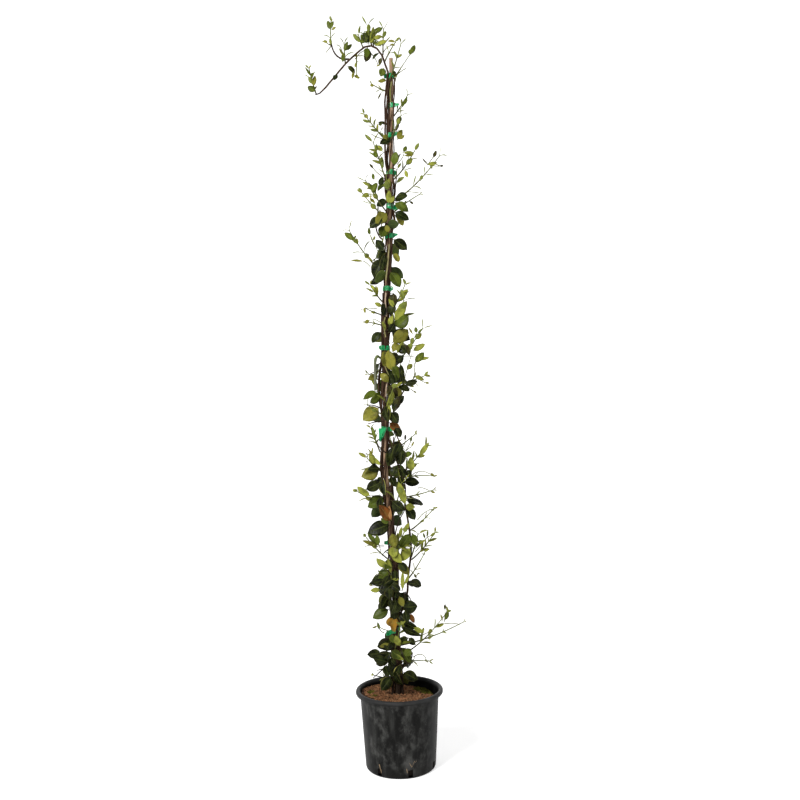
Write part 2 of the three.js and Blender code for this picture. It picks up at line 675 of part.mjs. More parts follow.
const caneHeights = [caneFoot, potHeight];
for (let height = firstCaneJoint; height < caneTop; height += caneJointSpacing) {
  caneHeights.push(height, height + caneJointSpacing / 2);
}
caneHeights.push(caneTop);
const caneRadii = caneHeights.map((height, i) => {
  const isJoint = i > 1 && i % 2 === 0 && height < caneTop;
  return caneRadiusAt(height) + (isJoint ? caneJointSwell : 0);
});
const caneLine = lineOf(caneHeights.map(caneAt), caneRadii);
beadLine(caneLine.points, caneLine.radii, "cane", 0);

// The old side stem, cut short: out from its stem, over a knee and straight down
const stubHost = stemFor("any", stubFootHeight, outward(-90));
const stubPoints = stubRoute.map((place) => new THREE.Vector3(...place));
const stubStart = stemAt(stubHost, stubFootHeight);
const stubAside = stubPoints[0].clone().sub(stubStart).setZ(0).normalize();
const stubGap = 0.9;
const stubStandOff = stemRadiusAt(stubHost, stubFootHeight) + stubGap;
stubPoints.unshift(stubStart.addScaledVector(stubAside, stubStandOff));
beadLine(stubPoints, stubRadii, "stub", 0);

// The tape's outline round the cane and the stems that it holds, seen from above, at a distance from them
function tieOutline(tie, distance) {
  const axis = caneAt(tie.height);
  const rounds = [{ x: 0, y: 0, radius: caneRadiusAt(tie.height) }];
  for (const stem of stems) {
    const held = tie.height <= stem.top && eased(stem.route, tie.height, 2) < 1;
    const place = stemAt(stem, tie.height).sub(axis);
    if (held) rounds.push({ x: place.x, y: place.y, radius: stemRadiusAt(stem, tie.height) });
  }
  const outline = [];
  for (let k = 0; k < tieSteps; k++) {
    const direction = outward(tie.tab + 180 / tieSteps + (360 * k) / tieSteps);
    let furthest = null;
    let most = -Infinity;
    for (const round of rounds) {
      const reach = round.x * direction.x + round.y * direction.y + round.radius;
      if (reach <= most) continue;
      most = reach;
      furthest = round;
    }
    const offset = furthest.radius + distance;
    outline.push(new THREE.Vector2(furthest.x + direction.x * offset, furthest.y + direction.y * offset));
  }
  return outline;
}

for (const tie of ties) {
  tie.inner = tieOutline(tie, tieSlack);
  tie.outer = tieOutline(tie, tieSlack + tapeThickness);
  const direction = outward(tie.tab);
  const across = new THREE.Vector2(-direction.y, direction.x).multiplyScalar(tapeThickness);
  const first = tie.outer[0];
  const last = tie.outer[tieSteps - 1];
  const root = new THREE.Vector2().addVectors(first, last).multiplyScalar(0.5);
  const end = root.clone().add(new THREE.Vector2(direction.x, direction.y).multiplyScalar(tie.reach));
  for (const place of [root, end]) tie.outer.push(place.clone().sub(across));
  for (const place of [end, root]) tie.outer.push(place.clone().add(across));
  const axis = caneAt(tie.height);
  const between = tie.inner.map((place, k) => place.clone().lerp(tie.inner[(k + 1) % tieSteps], 0.5));
  const ring = [...tie.inner, ...between, root.clone().lerp(end, 0.35), root.clone().lerp(end, 0.7), end];
  for (const place of ring) {
    for (const level of tieBeadLevels) {
      const height = tie.height + level + place.x * Math.tan(radians(tie.tilt));
      addBead(new THREE.Vector3(axis.x + place.x, axis.y + place.y, height), tieBead, "tie", 0);
    }
  }
  if (!tie.tail) continue;
  tie.hang = tie.outer[tailPlace];
  const beside = new THREE.Vector2(-tie.hang.y, tie.hang.x).normalize();
  for (const aside of tailBeads.asides) {
    const [x, y] = [axis.x + tie.hang.x + beside.x * aside, axis.y + tie.hang.y + beside.y * aside];
    for (const drop of tailBeads.drops) addBead(new THREE.Vector3(x, y, tie.height - drop), tieBead, "tie", 0);
  }
}

const shoots = [];

function bezier(from, middle, to, t) {
  return from
    .clone()
    .multiplyScalar((1 - t) * (1 - t))
    .addScaledVector(middle, 2 * t * (1 - t))
    .addScaledVector(to, t * t);
}

// A shoot's curve from its stem to a tip, turned about the stem by an angle, or nothing where it is blocked
function shootCurve(shoot, angle) {
  const reach = shoot.tip.clone().sub(shoot.centre).applyAxisAngle(up, radians(angle));
  const tip = shoot.centre.clone().add(reach);
  const middle = shoot.centre.clone().addScaledVector(reach, 0.5);
  middle.addScaledVector(up, shoot.sag).addScaledVector(right, shoot.bow);
  const leaving = middle.clone().sub(shoot.centre).normalize();
  const aside = reach.clone().addScaledVector(shoot.along, -reach.dot(shoot.along)).normalize();
  const lean = Math.abs(leaving.dot(shoot.along));
  const seat = seats[shoot.owner] ?? 0;
  const standOff = shoot.own ? shoot.stemRadius + gap + shootFootRadius * lean - seat : 0;
  const foot = shoot.centre.clone().addScaledVector(aside, standOff);
  for (let i = 1; i <= shootPoints; i++) {
    const place = bezier(foot, middle, tip, i / shootPoints);
    if (blocked(place, shootFootRadius + 0.8, shoot.host, shoot.centre)) return null;
  }
  return { foot, middle, tip };
}

const shootTurns = [0, 8, -8, 16, -16, 26, -26, 38, -38, 52, -52];
function growShoot(shoot) {
  for (const angle of shootTurns) {
    shoot.curve = shootCurve(shoot, angle);
    if (shoot.curve) break;
  }
  if (!shoot.curve) return;
  const { foot, middle, tip } = shoot.curve;
  const points = [];
  const radii = [];
  for (let i = 0; i <= shootPoints; i++) {
    points.push(bezier(foot, middle, tip, i / shootPoints));
    radii.push(shootFootRadius + ((shootTipRadius - shootFootRadius) * i) / shootPoints);
  }
  shoot.line = lineOf(points, radii);
  shoots.push(shoot);
  beadLine(points, radii, shoot.owner, shootReach);
}

function shootFrom(stem, at, tip, sag, pairs, leafLength, bow) {
  const own = pairs >= leastShootPairs;
  const number = shoots.filter((shoot) => shoot.own).length + 1;
  growShoot({
    host: stem.name,
    owner: own ? "shoot_" + String(number).padStart(2, "0") : stem.name,
    centre: pointAlong(stem.line, at),
    along: directionAlong(stem.line, at),
    stemRadius: radiusAlong(stem.line, at),
    own,
    tip,
    sag,
    pairs,
    leafLength,
    bow,
  });
}

for (const [key, height, x, y, z, sag, pairs, leafLength] of sideShoots) {
  const tip = new THREE.Vector3(x, y, z);
  const stem = stemFor(key, height, tip.clone().sub(caneAt(height)).setZ(0).normalize());
  shootFrom(stem, lengthAtHeight(stem, height), tip, sag, pairs, leafLength, 0);
}

for (const [share, x, y, z, sag, pairs, leafLength, bow] of archShoots) {
  shootFrom(stems[0], lengthOnArch(share), new THREE.Vector3(x, y, z), sag, pairs, leafLength, bow);
}

// Mature leaves

const leaves = [];

// Where a leaf stands: beside its stem, on the side that it points to
function footBeside(centre, along, radius, axis) {
  const aside = axis.clone().addScaledVector(along, -axis.dot(along)).normalize();
  return centre.clone().addScaledVector(aside, radius + footStandOff);
}

// A leaf's normal: upwards, then rolled about its axis towards the side that the leaf faces
function rolledNormal(axis, facing, roll) {
  const level = up.clone().addScaledVector(axis, -up.dot(axis)).normalize();
  const side = axis.clone().cross(level);
  if (side.dot(facing) < 0) side.negate();
  return level.multiplyScalar(Math.cos(roll)).addScaledVector(side, Math.sin(roll));
}

const frontAzimuth = 110;
const leafTurns = [
  [0, 0], [12, 0], [-12, 0], [0, 15], [0, -15], [24, 8], [-24, 8], [24, -12], [-24, -12], [40, 0], [-40, 0],
  [40, 25], [-40, 25], [58, -10], [-58, -10], [75, 10], [-75, 10], [92, 0], [-92, 0],
];
function growMature(stem, at, azimuth, pitch, length, form, roll) {
  const centre = pointAlong(stem.line, at);
  const along = directionAlong(stem.line, at);
  const radius = radiusAlong(stem.line, at);
  const facing = outward(Math.abs(azimuth % 360) < frontAzimuth ? 0 : 180);
  for (const [turn, tip] of leafTurns) {
    const steep = radians(Math.max(-steepestPitch, Math.min(steepestPitch, pitch + tip)));
    const axis = outward(azimuth + turn).multiplyScalar(Math.cos(steep)).addScaledVector(up, Math.sin(steep));
    const normal = rolledNormal(axis, facing, roll);
    const foot = footBeside(centre, along, radius, axis);
    const leaf = { owner: stem.name, at, foot, axis, normal, length, form: matureForms[form], mature: true };
    if (!settle(leaf)) continue;
    leaves.push(leaf);
    return;
  }
}

for (const [share, azimuth, pitch, length, form] of archLeaves) {
  growMature(stems[0], lengthOnArch(share), azimuth, pitch, length, form, 0.5);
}

const partners = [];
for (const [key, height, azimuth, pitch, length, form] of matureLeaves) {
  const roll = 0.7 + 0.6 * random();
  const stem = stemFor(key, height, outward(azimuth));
  growMature(stem, lengthAtHeight(stem, height), azimuth, pitch, length, form, roll);
  partners.push({ stem, height, azimuth: azimuth + 180, length });
}

function growRandomMature(stem, height, azimuth, length) {
  const [pitch, size, form, roll] = [-60 + 70 * random(), 0.75 + 0.4 * random(), random(), 0.4 + random()];
  const at = lengthAtHeight(stem, height);
  growMature(stem, at, azimuth, pitch, length * size, Math.floor(form * matureForms.length), roll);
}

for (const partner of partners) {
  const wanted = random() < partnerShare;
  const azimuth = partner.azimuth - 25 + 50 * random();
  if (wanted) growRandomMature(partner.stem, partner.height, azimuth, partner.length);
}

for (const range of backLeafRanges) {
  for (let height = range.from; height < range.to; height += range.step) {
    const azimuth = 115 + 130 * random();
    const stem = stemFor("any", height, outward(azimuth));
    growRandomMature(stem, height, azimuth, range.length);
  }
}

// Young leaves in crossed pairs along the shoots, smaller towards the tip

const youngTurns = [[0, 0], [18, 6], [-18, 6], [36, -6], [-36, -6], [55, 12], [-55, 12], [80, 0], [-80, 0]];
const firstPairAt = 0.42;
const bowedFirstPairAt = 0.64;
const lastSidePairAt = 0.9;

function growYoung(shoot, t, around, spread, length, form) {
  const { foot, middle, tip } = shoot.curve;
  const centre = bezier(foot, middle, tip, t);
  const along = centre.clone().sub(bezier(foot, middle, tip, t - 0.05)).normalize();
  const radius = radiusAlong(shoot.line, shoot.line.total * t);
  const level = along.clone().cross(Math.abs(along.z) < 0.95 ? up : right).normalize();
  const above = level.clone().cross(along);
  for (const [turn, open] of youngTurns) {
    const angle = radians(around + turn);
    const wide = radians(spread + open);
    const across = level.clone().multiplyScalar(Math.cos(angle)).addScaledVector(above, Math.sin(angle));
    const axis = along.clone().multiplyScalar(Math.cos(wide)).addScaledVector(across, Math.sin(wide));
    const normal = along.clone().multiplyScalar(Math.sin(wide)).addScaledVector(across, -Math.cos(wide));
    const place = footBeside(centre, along, radius, axis);
    const leaf = { owner: shoot.owner, foot: place, axis, normal, length, form, mature: false };
    if (!settle(leaf)) continue;
    leaf.at = shoot.line.total * t;
    shoot.leaves.push(leaf);
    return;
  }
}

for (const shoot of shoots) {
  shoot.leaves = [];
  const startAngle = 90 * random();
  for (let pair = 0; pair < shoot.pairs; pair++) {
    const last = pair === shoot.pairs - 1;
    const first = shoot.bow === 0 ? firstPairAt : bowedFirstPairAt;
    const t = last ? 1 : first + ((lastSidePairAt - first) * pair) / Math.max(1, shoot.pairs - 1);
    const size = last ? 0.75 : 1 - (0.25 * pair) / shoot.pairs;
    for (let side = 0; side < 2; side++) {
      const around = startAngle + 90 * pair + 180 * side - 15 + 30 * random();
      const spread = (last ? 30 : 34) + 16 * random();
      const length = shoot.leafLength * size * (0.85 + 0.3 * random());
      const form = youngForms[Math.floor(youngForms.length * random())];
      growYoung(shoot, t, around, spread, length, form);
    }
  }
}

// Colours

function material(color, roughness, metalness = 0) {
  return new THREE.MeshStandardMaterial({ color, roughness, metalness });
}
const potPlastic = material(0x3a3d3e, 0.6);
const coir = material(0x7a4a30, 0.95);
const bamboo = material(0xb59a68, 0.55);
const tape = material(0x12a060, 0.35);
const matureGreen = material(0x2c4420, 0.4);
const youngGreen = material(0x8aa64c, 0.45);
const oldWood = material(0x6f6a5c, 0.8);

// Pot: turned from its section, then cut by the slots and the floor holes

const flatShare = Math.cos(Math.PI / potSides);
function wallInside(height) {
  const share = height / (potHeight - rimDepth);
  return wallFootRadius - wallThickness + (wallTopRadius - wallFootRadius) * share;
}

function potSolid() {
  const skirt = potHeight - rimDepth;
  const underRim = potHeight - 2.6;
  const wallAtSkirt = wallInside(skirt) + wallThickness;
  const section = [
    [0, 0], [padRadius, 0], [padRadius + 4, 3], [footRingInside - 4, 3], [footRingInside, 0],
    [wallFootRadius - 6, 0], [wallFootRadius + 0.3, 8], [wallAtSkirt, skirt], [wallAtSkirt + 0.6, underRim],
    [rimRadius - wallThickness, underRim], [rimRadius - wallThickness, skirt], [rimRadius, skirt],
    [rimRadius, potHeight - 4], [rimRadius - 3, potHeight], [wallAtSkirt, potHeight],
    [wallInside(potHeight - 5), potHeight - 5], [wallInside(9), 9], [wallFootRadius - 6, padTop + 0.4],
    [footRingInside + 1, padTop + 0.4], [footRingInside - 3, floorTop], [padRadius + 5, floorTop],
    [padRadius, padTop], [0, padTop],
  ].map(([r, z]) => new THREE.Vector2(r, z));
  let pot = solidFromGeometry(new THREE.LatheGeometry(section, potSides).rotateX(Math.PI / 2));
  for (let i = 0; i < slotCount; i++) {
    const slot = new THREE.BoxGeometry(slotWidth, slotDepth, slotTop - slotBottom);
    slot.translate(0, -wallFootRadius, (slotTop + slotBottom) / 2);
    slot.rotateZ(radians(slotOffset + (i * 360) / slotCount));
    pot = pot.subtract(solidFromGeometry(slot));
  }
  for (let i = 0; i < floorHoleCount; i++) {
    const hole = new THREE.CylinderGeometry(floorHoleRadius, floorHoleRadius, 4 * floorTop, floorHoleSides);
    hole.rotateX(Math.PI / 2).translate(0, -floorHoleRing, 0).rotateZ((i * 2 * Math.PI) / floorHoleCount);
    pot = pot.subtract(solidFromGeometry(hole));
  }
  return pot;
}

// Soil: a turned body whose top is uneven and slopes down to the right and the back

function soilTop(x, y) {
  const slope = -0.105 * x - 0.06 * y;
  const clods = 1.6 * Math.sin(x * 0.09 + 1) * Math.cos(y * 0.11) + 0.9 * Math.sin(x * 0.23 + y * 0.19);
  return soilHeight + slope + clods;
}

function soilSolid() {
  const edgeAt = (height) => wallInside(height) * flatShare - gap;
  const edge = edgeAt(soilHeight);
  const section = [
    [0, soilBottom], [soilFootRadius, soilBottom], [edgeAt(10), 10], [edge, soilHeight],
    ...soilRings.map((radius) => [radius, soilHeight]),
  ].map(([r, z]) => new THREE.Vector2(r, z));
  const body = new THREE.LatheGeometry(section, soilSides).rotateX(Math.PI / 2);
  const place = body.attributes.position;
  for (let i = 0; i < place.count; i++) {
    const [x, y] = [place.getX(i), place.getY(i)];
    if (place.getZ(i) < soilHeight - 1) continue;
    const height = soilTop(x, y);
    const grow = Math.hypot(x, y) > edge - 1 ? edgeAt(height) / edge : 1;
    place.setXYZ(i, x * grow, y * grow, height);
  }
  let soil = solidFromGeometry(body);
  const holes = stems.map((stem) => ({ line: stem.line, sides: stemSides, below: 2 * gap }));
  holes.push({ line: caneLine, sides: caneSides, below: caneFoot });
  for (const { line, sides, below } of holes) {
    const start = line.points[0].clone();
    const end = pointAlong(line, potHeight - start.z);
    const along = end.clone().sub(start).normalize();
    const radius = radiusAlong(line, 0) + holeGap;
    soil = soil.subtract(tube([start.addScaledVector(along, -below), end], [radius, radius], sides));
  }
  return soil;
}

function caneSolid() {
  const cane = tube(caneLine.points, caneLine.radii, caneSides);
  const bore = [caneAt(caneTop - caneBoreDepth), caneAt(caneTop).addScaledVector(up, 2)];
  return cane.subtract(tube(bore, [caneBoreRadius, caneBoreRadius], 6));
}

// The band is as wide as the tape, narrows along its tab, and rises to the right without leaving its outline
function tieSolid(tie) {
  const axis = caneAt(tie.height);
  const outline = new THREE.Shape(tie.outer);
  outline.holes.push(new THREE.Path(tie.inner));
  const band = new THREE.ExtrudeGeometry(outline, { depth: tapeWidth, bevelEnabled: false, steps: 1 });
  band.translate(0, 0, -tapeWidth / 2);
  const direction = outward(tie.tab);
  const rootAt = tie.outer[0].x * direction.x + tie.outer[0].y * direction.y;
  const place = band.attributes.position;
  for (let i = 0; i < place.count; i++) {
    const [x, y, z] = [place.getX(i), place.getY(i), place.getZ(i)];
    const along = Math.max(0, x * direction.x + y * direction.y - rootAt) / tie.reach;
    place.setZ(i, z * (1 + (tie.end - 1) * along) + x * Math.tan(radians(tie.tilt)));
  }
  let solid = solidFromGeometry(band.translate(axis.x, axis.y, axis.z));
  if (tie.tail) {
    const tail = new THREE.BoxGeometry(tailWidth, tailThickness, tie.tail);
    tail.rotateX(radians(-tailLean)).rotateZ(Math.atan2(tie.hang.x, -tie.hang.y));
    tail.translate(axis.x + tie.hang.x, axis.y + tie.hang.y, axis.z - tie.tail / 2 + tailOverlap);
    solid = solid.add(solidFromGeometry(tail));
  }
  return solid;
}

const part = new THREE.Group();

const container = new THREE.Group();
container.add(meshOf("pot", potSolid(), potPlastic));
container.add(meshOf("soil", soilSolid(), coir));
part.add(container);

const support = new THREE.Group();
support.add(meshOf("cane", caneSolid(), bamboo));
ties.forEach((tie, i) => {
  support.add(meshOf("tie_" + String(i + 1).padStart(2, "0"), tieSolid(tie), tape));
});
part.add(support);

const plant = new THREE.Group();
for (const stem of stems) {
  const ownLeaves = leaves.filter((leaf) => leaf.owner === stem.name);
  let solid = leafyStem(stem.line, stemSides, ownLeaves, stem.kept, stemStep, matureHalfNode);
  for (const twig of shoots.filter((shoot) => !shoot.own && shoot.host === stem.name)) {
    solid = solid.add(leafyStem(twig.line, shootSides, twig.leaves, [], shootStep, youngHalfNode));
  }
  solid = solid.simplify(mendTolerance);
  plant.add(meshOf(stem.name, solid, matureGreen));
}
for (const shoot of shoots.filter((shoot) => shoot.own)) {
  const solid = leafyStem(shoot.line, shootSides, shoot.leaves, [], shootStep, youngHalfNode);
  plant.add(meshOf(shoot.owner, solid, youngGreen));
}
plant.add(meshOf("cut_stub", tube(stubPoints, stubRadii, stemSides), oldWood));
part.add(plant);

export default part;
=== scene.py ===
from math import ceil, cos, floor, fmod, hypot, inf, pi, radians, sin, sqrt, tan

import bmesh
import bpy
import numpy as np
from mathutils import Matrix, Vector, noise


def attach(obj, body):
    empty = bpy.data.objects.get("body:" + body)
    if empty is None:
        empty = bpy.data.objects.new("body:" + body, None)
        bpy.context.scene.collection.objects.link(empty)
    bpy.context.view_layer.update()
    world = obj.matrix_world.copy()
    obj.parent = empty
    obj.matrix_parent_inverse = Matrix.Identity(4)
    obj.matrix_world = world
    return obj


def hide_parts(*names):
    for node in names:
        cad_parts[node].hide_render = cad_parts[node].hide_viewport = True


# Star jasmine up a bamboo cane in a nursery pot.
# The plan is in millimetres, as the CAD source has it, and meshes are in metres.
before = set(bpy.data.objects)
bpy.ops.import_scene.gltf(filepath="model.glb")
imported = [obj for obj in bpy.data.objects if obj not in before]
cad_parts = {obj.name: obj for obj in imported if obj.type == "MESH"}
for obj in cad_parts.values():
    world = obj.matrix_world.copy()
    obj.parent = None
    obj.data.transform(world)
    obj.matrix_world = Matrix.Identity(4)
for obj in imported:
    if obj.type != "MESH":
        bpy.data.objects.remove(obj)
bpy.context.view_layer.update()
mm = 0.001

# Points and directions are plain tuples.


def plus(a, b, share=1.0):
    return (a[0] + b[0] * share, a[1] + b[1] * share, a[2] + b[2] * share)


def minus(a, b):
    return (a[0] - b[0], a[1] - b[1], a[2] - b[2])


def times(a, s):
    return (a[0] * s, a[1] * s, a[2] * s)


def dot(a, b):
    return a[0] * b[0] + a[1] * b[1] + a[2] * b[2]


def cross(a, b):
    return (a[1] * b[2] - a[2] * b[1], a[2] * b[0] - a[0] * b[2], a[0] * b[1] - a[1] * b[0])


def unit(a):
    return times(a, 1 / sqrt(dot(a, a)))


def mixed(a, b, t):
    return (a[0] + (b[0] - a[0]) * t, a[1] + (b[1] - a[1]) * t, a[2] + (b[2] - a[2]) * t)


def apart(a, b):
    return sqrt((a[0] - b[0]) ** 2 + (a[1] - b[1]) ** 2 + (a[2] - b[2]) ** 2)


def outward(azimuth):  # level, 0 to the front and 90 to the right
    return (sin(radians(azimuth)), -cos(radians(azimuth)), 0.0)


def bezier(start, middle, end, t):
    return plus(plus(times(start, (1 - t) * (1 - t)), middle, 2 * t * (1 - t)), end, t * t)


up = (0.0, 0.0, 1.0)
right = (1.0, 0.0, 0.0)
seed = {"draw": 20240}


def drawNumber():
    seed["draw"] = (seed["draw"] * 1664525 + 1013904223) % 4294967296
    return seed["draw"] / 4294967296


def drawIn(least, span):
    return least + span * drawNumber()


# The plant's plan: where cane, ties, stems, shoots and leaves run.

pot = {
    "height": 195, "rim": 110, "rimDepth": 10, "wallTop": 99.3, "wallFoot": 88, "wall": 2,
    "slots": 7, "slotOffset": -36, "slotWidth": 12, "slotDepth": 22, "slotBottom": 3.6, "slotTop": 22,
    "holes": 4, "holeRadius": 5, "holeRing": 53, "pad": 30, "footRing": 76, "soil": 178,
}
caneAxis = [(2.3, -4, 2), (450, -8, -2), (800, -22, 3), (1785, 15, 0)]  # height, x and y
cane = {"foot": 2.3, "top": 1785, "footRadius": 5.8, "topRadius": 4.8, "firstJoint": 331, "jointStep": 185}
caneJoints = range(cane["firstJoint"], cane["top"], cane["jointStep"])
# ties: height, turn of the stems, the tab's azimuth and length, rise to the right, width of its end, tail
ties = [
    (343, 0, -70, 14, 15, 0.9, 0), (563, 156, -80, 12, 0, 0.6, 0), (850, 360, 80, 10, -3, 0.7, 34),
    (1054, 450, -60, 5, -5, 0.5, 0), (1204, 515, 70, 9, 0, 0.6, 0), (1336, 575, 80, 11, 8, 0.35, 0),
    (1411, 610, 55, 15, -10, 0.8, 0), (1498, 650, 100, 5, 0, 0.8, 0), (1591, 700, 85, 11, 15, 0.6, 0),
    (1666, 745, 80, 14, 5, 0.2, 0), (1740, 790, -90, 7, 0, 0.7, 0),
]
stems = [
    {"name": "stem_a", "phase": -150, "foot": 128, "top": 1749, "thick": 3.6, "thin": 2.7, "arched": True},
    {"name": "stem_b", "phase": -30, "foot": 131, "top": 1655, "thick": 3.4, "thin": 2.1},
    {"name": "stem_c", "phase": 90, "foot": 134, "top": 1470, "thick": 3.1, "thin": 1.8, "unturned": 360,
     "sway": [(450, 90, 26), (560, 88, 40), (720, 92, 30)]},
]
arch = [
    (0, -2, 1769), (-7, -3, 1791), (-20, -5, 1809), (-35, -7, 1815), (-51, -8, 1812), (-67, -8, 1800),
    (-84, -7, 1786), (-101, -5, 1771), (-118, -2, 1753), (-137, 2, 1733), (-154, 5, 1715), (-168, 7, 1703),
    (-179, 8, 1700),
]
archEndRadius = 1.1
stub = {"height": 1028, "gap": 0.9, "radii": [2.4, 3.4, 3.8, 3.4, 3.2],
        "route": [(-36, -13, 1034), (-41, -15, 1027), (-42.5, -16, 1015), (-43, -17, 947)]}
matureLeaves = [  # height, azimuth, pitch, length and form
    (1728, -90, 10, 24, 4), (1615, -80, 25, 26, 0), (1580, -30, -10, 32, 1), (1515, 60, 45, 36, 2),
    (1470, -80, -30, 28, 1), (1430, 80, -20, 44, 0), (1395, 60, -10, 44, 5), (1388, 100, -50, 36, 1),
    (1392, -80, -35, 48, 0), (1364, -35, -60, 38, 4), (1328, 70, -35, 46, 0), (1285, -100, 10, 36, 3),
    (1281, -70, -60, 56, 0), (1290, 60, -30, 28, 3), (1245, 50, -45, 48, 1), (1230, -85, -10, 36, 5),
    (1095, -60, -40, 38, 1), (1095, 70, -20, 54, 0), (1045, 10, -55, 50, 4), (1040, 60, -50, 46, 3),
    (1000, 80, -60, 48, 1), (985, -30, -20, 30, 5), (975, 95, 0, 52, 0), (960, 50, -60, 46, 3),
    (955, 90, -30, 42, 1), (945, -85, -20, 42, 0), (905, -80, -35, 54, 4), (866, 80, -40, 38, 1),
    (812, 60, -10, 38, 3), (795, 50, -30, 50, 0), (752, -60, 0, 38, 5), (745, -85, -15, 50, 4),
    (728, -10, -60, 50, 0), (715, -75, -35, 48, 1), (715, 85, 0, 42, 0), (675, -80, -15, 52, 3),
    (668, 95, -5, 50, 5), (665, 50, -40, 48, 1), (690, -15, -68, 50, 4), (650, 60, -50, 38, 0),
    (610, -75, -15, 62, 0), (546, 20, -30, 44, 1), (520, -60, -20, 36, 0), (512, 60, -35, 42, 5),
    (475, 0, -70, 52, 3), (470, -80, -15, 48, 0), (465, 90, -15, 38, 1), (484, 40, -65, 44, 3),
    (455, -100, -25, 36, 4), (440, 70, -50, 38, 0), (420, -60, -30, 34, 5), (420, 10, -60, 50, 1),
    (425, 80, -40, 40, 4), (395, -75, -20, 48, 0), (375, 0, -30, 38, 4), (356, 85, -20, 48, 3),
    (312, -95, -20, 44, 0), (300, 35, -45, 48, 5), (290, -80, -35, 58, 1), (275, -50, -30, 42, 0),
    (262, 80, -25, 40, 3), (246, 10, -50, 46, 1), (240, -35, -30, 40, 5), (228, -15, -70, 42, 4),
    (236, 95, -10, 42, 0), (1350, 15, -60, 34, 1), (1300, -20, -65, 40, 0), (1165, 25, -55, 40, 4),
    (1016, -40, -60, 42, 1), (908, 20, -60, 44, 0), (588, 35, -55, 42, 0), (495, -25, -65, 46, 1),
    (432, -35, -60, 40, 4), (325, -10, -50, 38, 4),
]
stemCLeaves = {(715, 85), (668, 95), (650, 60), (465, 90)}  # height and azimuth of those that grow on stem_c
partnerShare = 0.3
backLeafRanges = [(228, 700, 25, 48), (710, 1120, 42, 44), (1150, 1450, 56, 40)]
sideShoots = [  # foot height, tip x, y and z, sag, leaf pairs and longest leaf
    (1725, 68, -5, 1803, -12, 3, 24), (1703, -35, 5, 1723, -4, 2, 14), (1632, 56, 10, 1697, -10, 3, 20),
    (1572, -56, -5, 1644, -6, 4, 22), (1574, 42, -15, 1634, -6, 3, 26), (1480, -35, -12, 1572, -4, 4, 34),
    (1482, 70, -10, 1549, -14, 4, 28), (1427, 134, 10, 1541, -24, 5, 24), (1400, -57, -5, 1478, -8, 4, 26),
    (1380, -65, -20, 1442, -8, 3, 24), (1396, 80, -10, 1441, 4, 2, 12), (1426, -4, -34, 1484, -4, 2, 30),
    (1246, -101, 0, 1354, -22, 4, 30), (1172, -50, -10, 1213, -8, 3, 24), (1138, -65, 0, 1156, -3, 2, 18),
    (1110, -68, -5, 1121, 3, 2, 12), (1145, 37, -15, 1210, -6, 3, 28), (1099, 34, -22, 1172, -6, 3, 42),
    (998, 80, -10, 1102, -18, 5, 30), (960, 80, -15, 981, -8, 3, 26), (973, -61, 5, 990, 2, 2, 20),
    (888, 2, -34, 952, -4, 2, 36), (885, -65, -5, 914, -4, 2, 16), (792, -57, -5, 853, -8, 4, 24),
    (784, 54, -5, 835, -6, 2, 18), (720, 83, -15, 805, -16, 4, 34), (725, 99, -10, 729, 6, 2, 12),
    (742, -68, -10, 778, -6, 2, 36), (658, -93, -5, 693, -8, 3, 30), (632, 18, -30, 717, -6, 3, 40),
    (676, 98, -5, 694, -4, 2, 14), (519, -75, -15, 580, -10, 4, 24), (520, 98, -10, 586, -12, 4, 24),
    (593, 96, -15, 647, -8, 3, 16), (526, 56, -30, 588, -6, 3, 34), (534, 21, -34, 593, -4, 2, 38),
    (470, 72, -15, 539, -8, 2, 18), (279, 6, -36, 360, -6, 2, 44), (278, 124, -5, 385, -26, 4, 26),
    (303, 168, -15, 357, -14, 3, 14), (261, 76, -15, 266, 4, 2, 18), (221, -63, -10, 232, -2, 2, 14),
    (293, 10, 70, 372, -10, 3, 30), (395, -20, 78, 470, -10, 4, 28), (500, 20, 66, 560, -8, 3, 26),
    (625, -34, 74, 690, -10, 4, 28), (770, 6, 64, 835, -8, 3, 28), (912, -44, 60, 985, -8, 3, 26),
    (1085, 16, 62, 1150, -8, 3, 28), (1255, -20, 66, 1330, -10, 3, 26), (1450, 24, 56, 1520, -8, 3, 24),
    (1555, -18, 50, 1615, -6, 3, 22),
]
stemCShoots = {725, 676, 520, 593, 526, 470}  # foot heights of those that grow on stem_c
# shoots of the arch: how far along it, tip, sag, leaf pairs, longest leaf and the middle's move in x
archShoots = [
    (0.99, -193, 4, 1765, -6, 3, 20, 0), (0.55, -134, -4, 1880, -52, 3, 18, -34),
    (0.6, -112, -18, 1818, -8, 2, 24, 0), (0.46, -72, -14, 1740, 6, 2, 14, 0),
    (0.3, -42, -12, 1866, -6, 3, 34, 0), (0.17, -2, -8, 1858, -8, 3, 32, 0),
    (0.38, -66, 4, 1848, -4, 2, 28, 0), (0.1, 28, -4, 1825, 6, 2, 20, 0),
    (0.28, -30, 20, 1850, -4, 3, 26, 0),
]
archLeaves = [(0.49, 60, 10, 26, 4), (0.34, -20, -70, 28, 0), (0.2, -60, -30, 26, 1), (0.72, -40, -50, 20, 5)]
matureForms = [  # half width over length, arch, fold, twist and wave
    (0.33, 0.4, 0.22, 0.05, 0), (0.31, 0.85, 0.32, 0.25, 0), (0.32, -0.3, 0.28, -0.2, 0),
    (0.33, 1.5, 0.42, 0.5, 0.03), (0.37, 0.2, 0.12, -0.1, 0.02), (0.31, 0.6, 0.2, -0.5, 0.04),
]
youngForms = [
    (0.23, 0.35, 0.3, 0.1, 0), (0.2, 0.7, 0.35, -0.2, 0), (0.25, -0.25, 0.25, 0.15, 0),
    (0.21, 0.1, 0.4, 0.3, 0),
]
leafRule = {"petiole": 0.08, "standOff": 1, "steepest": 80, "front": 110, "firstPair": 0.42,
            "bowedFirstPair": 0.64, "lastSidePair": 0.9}
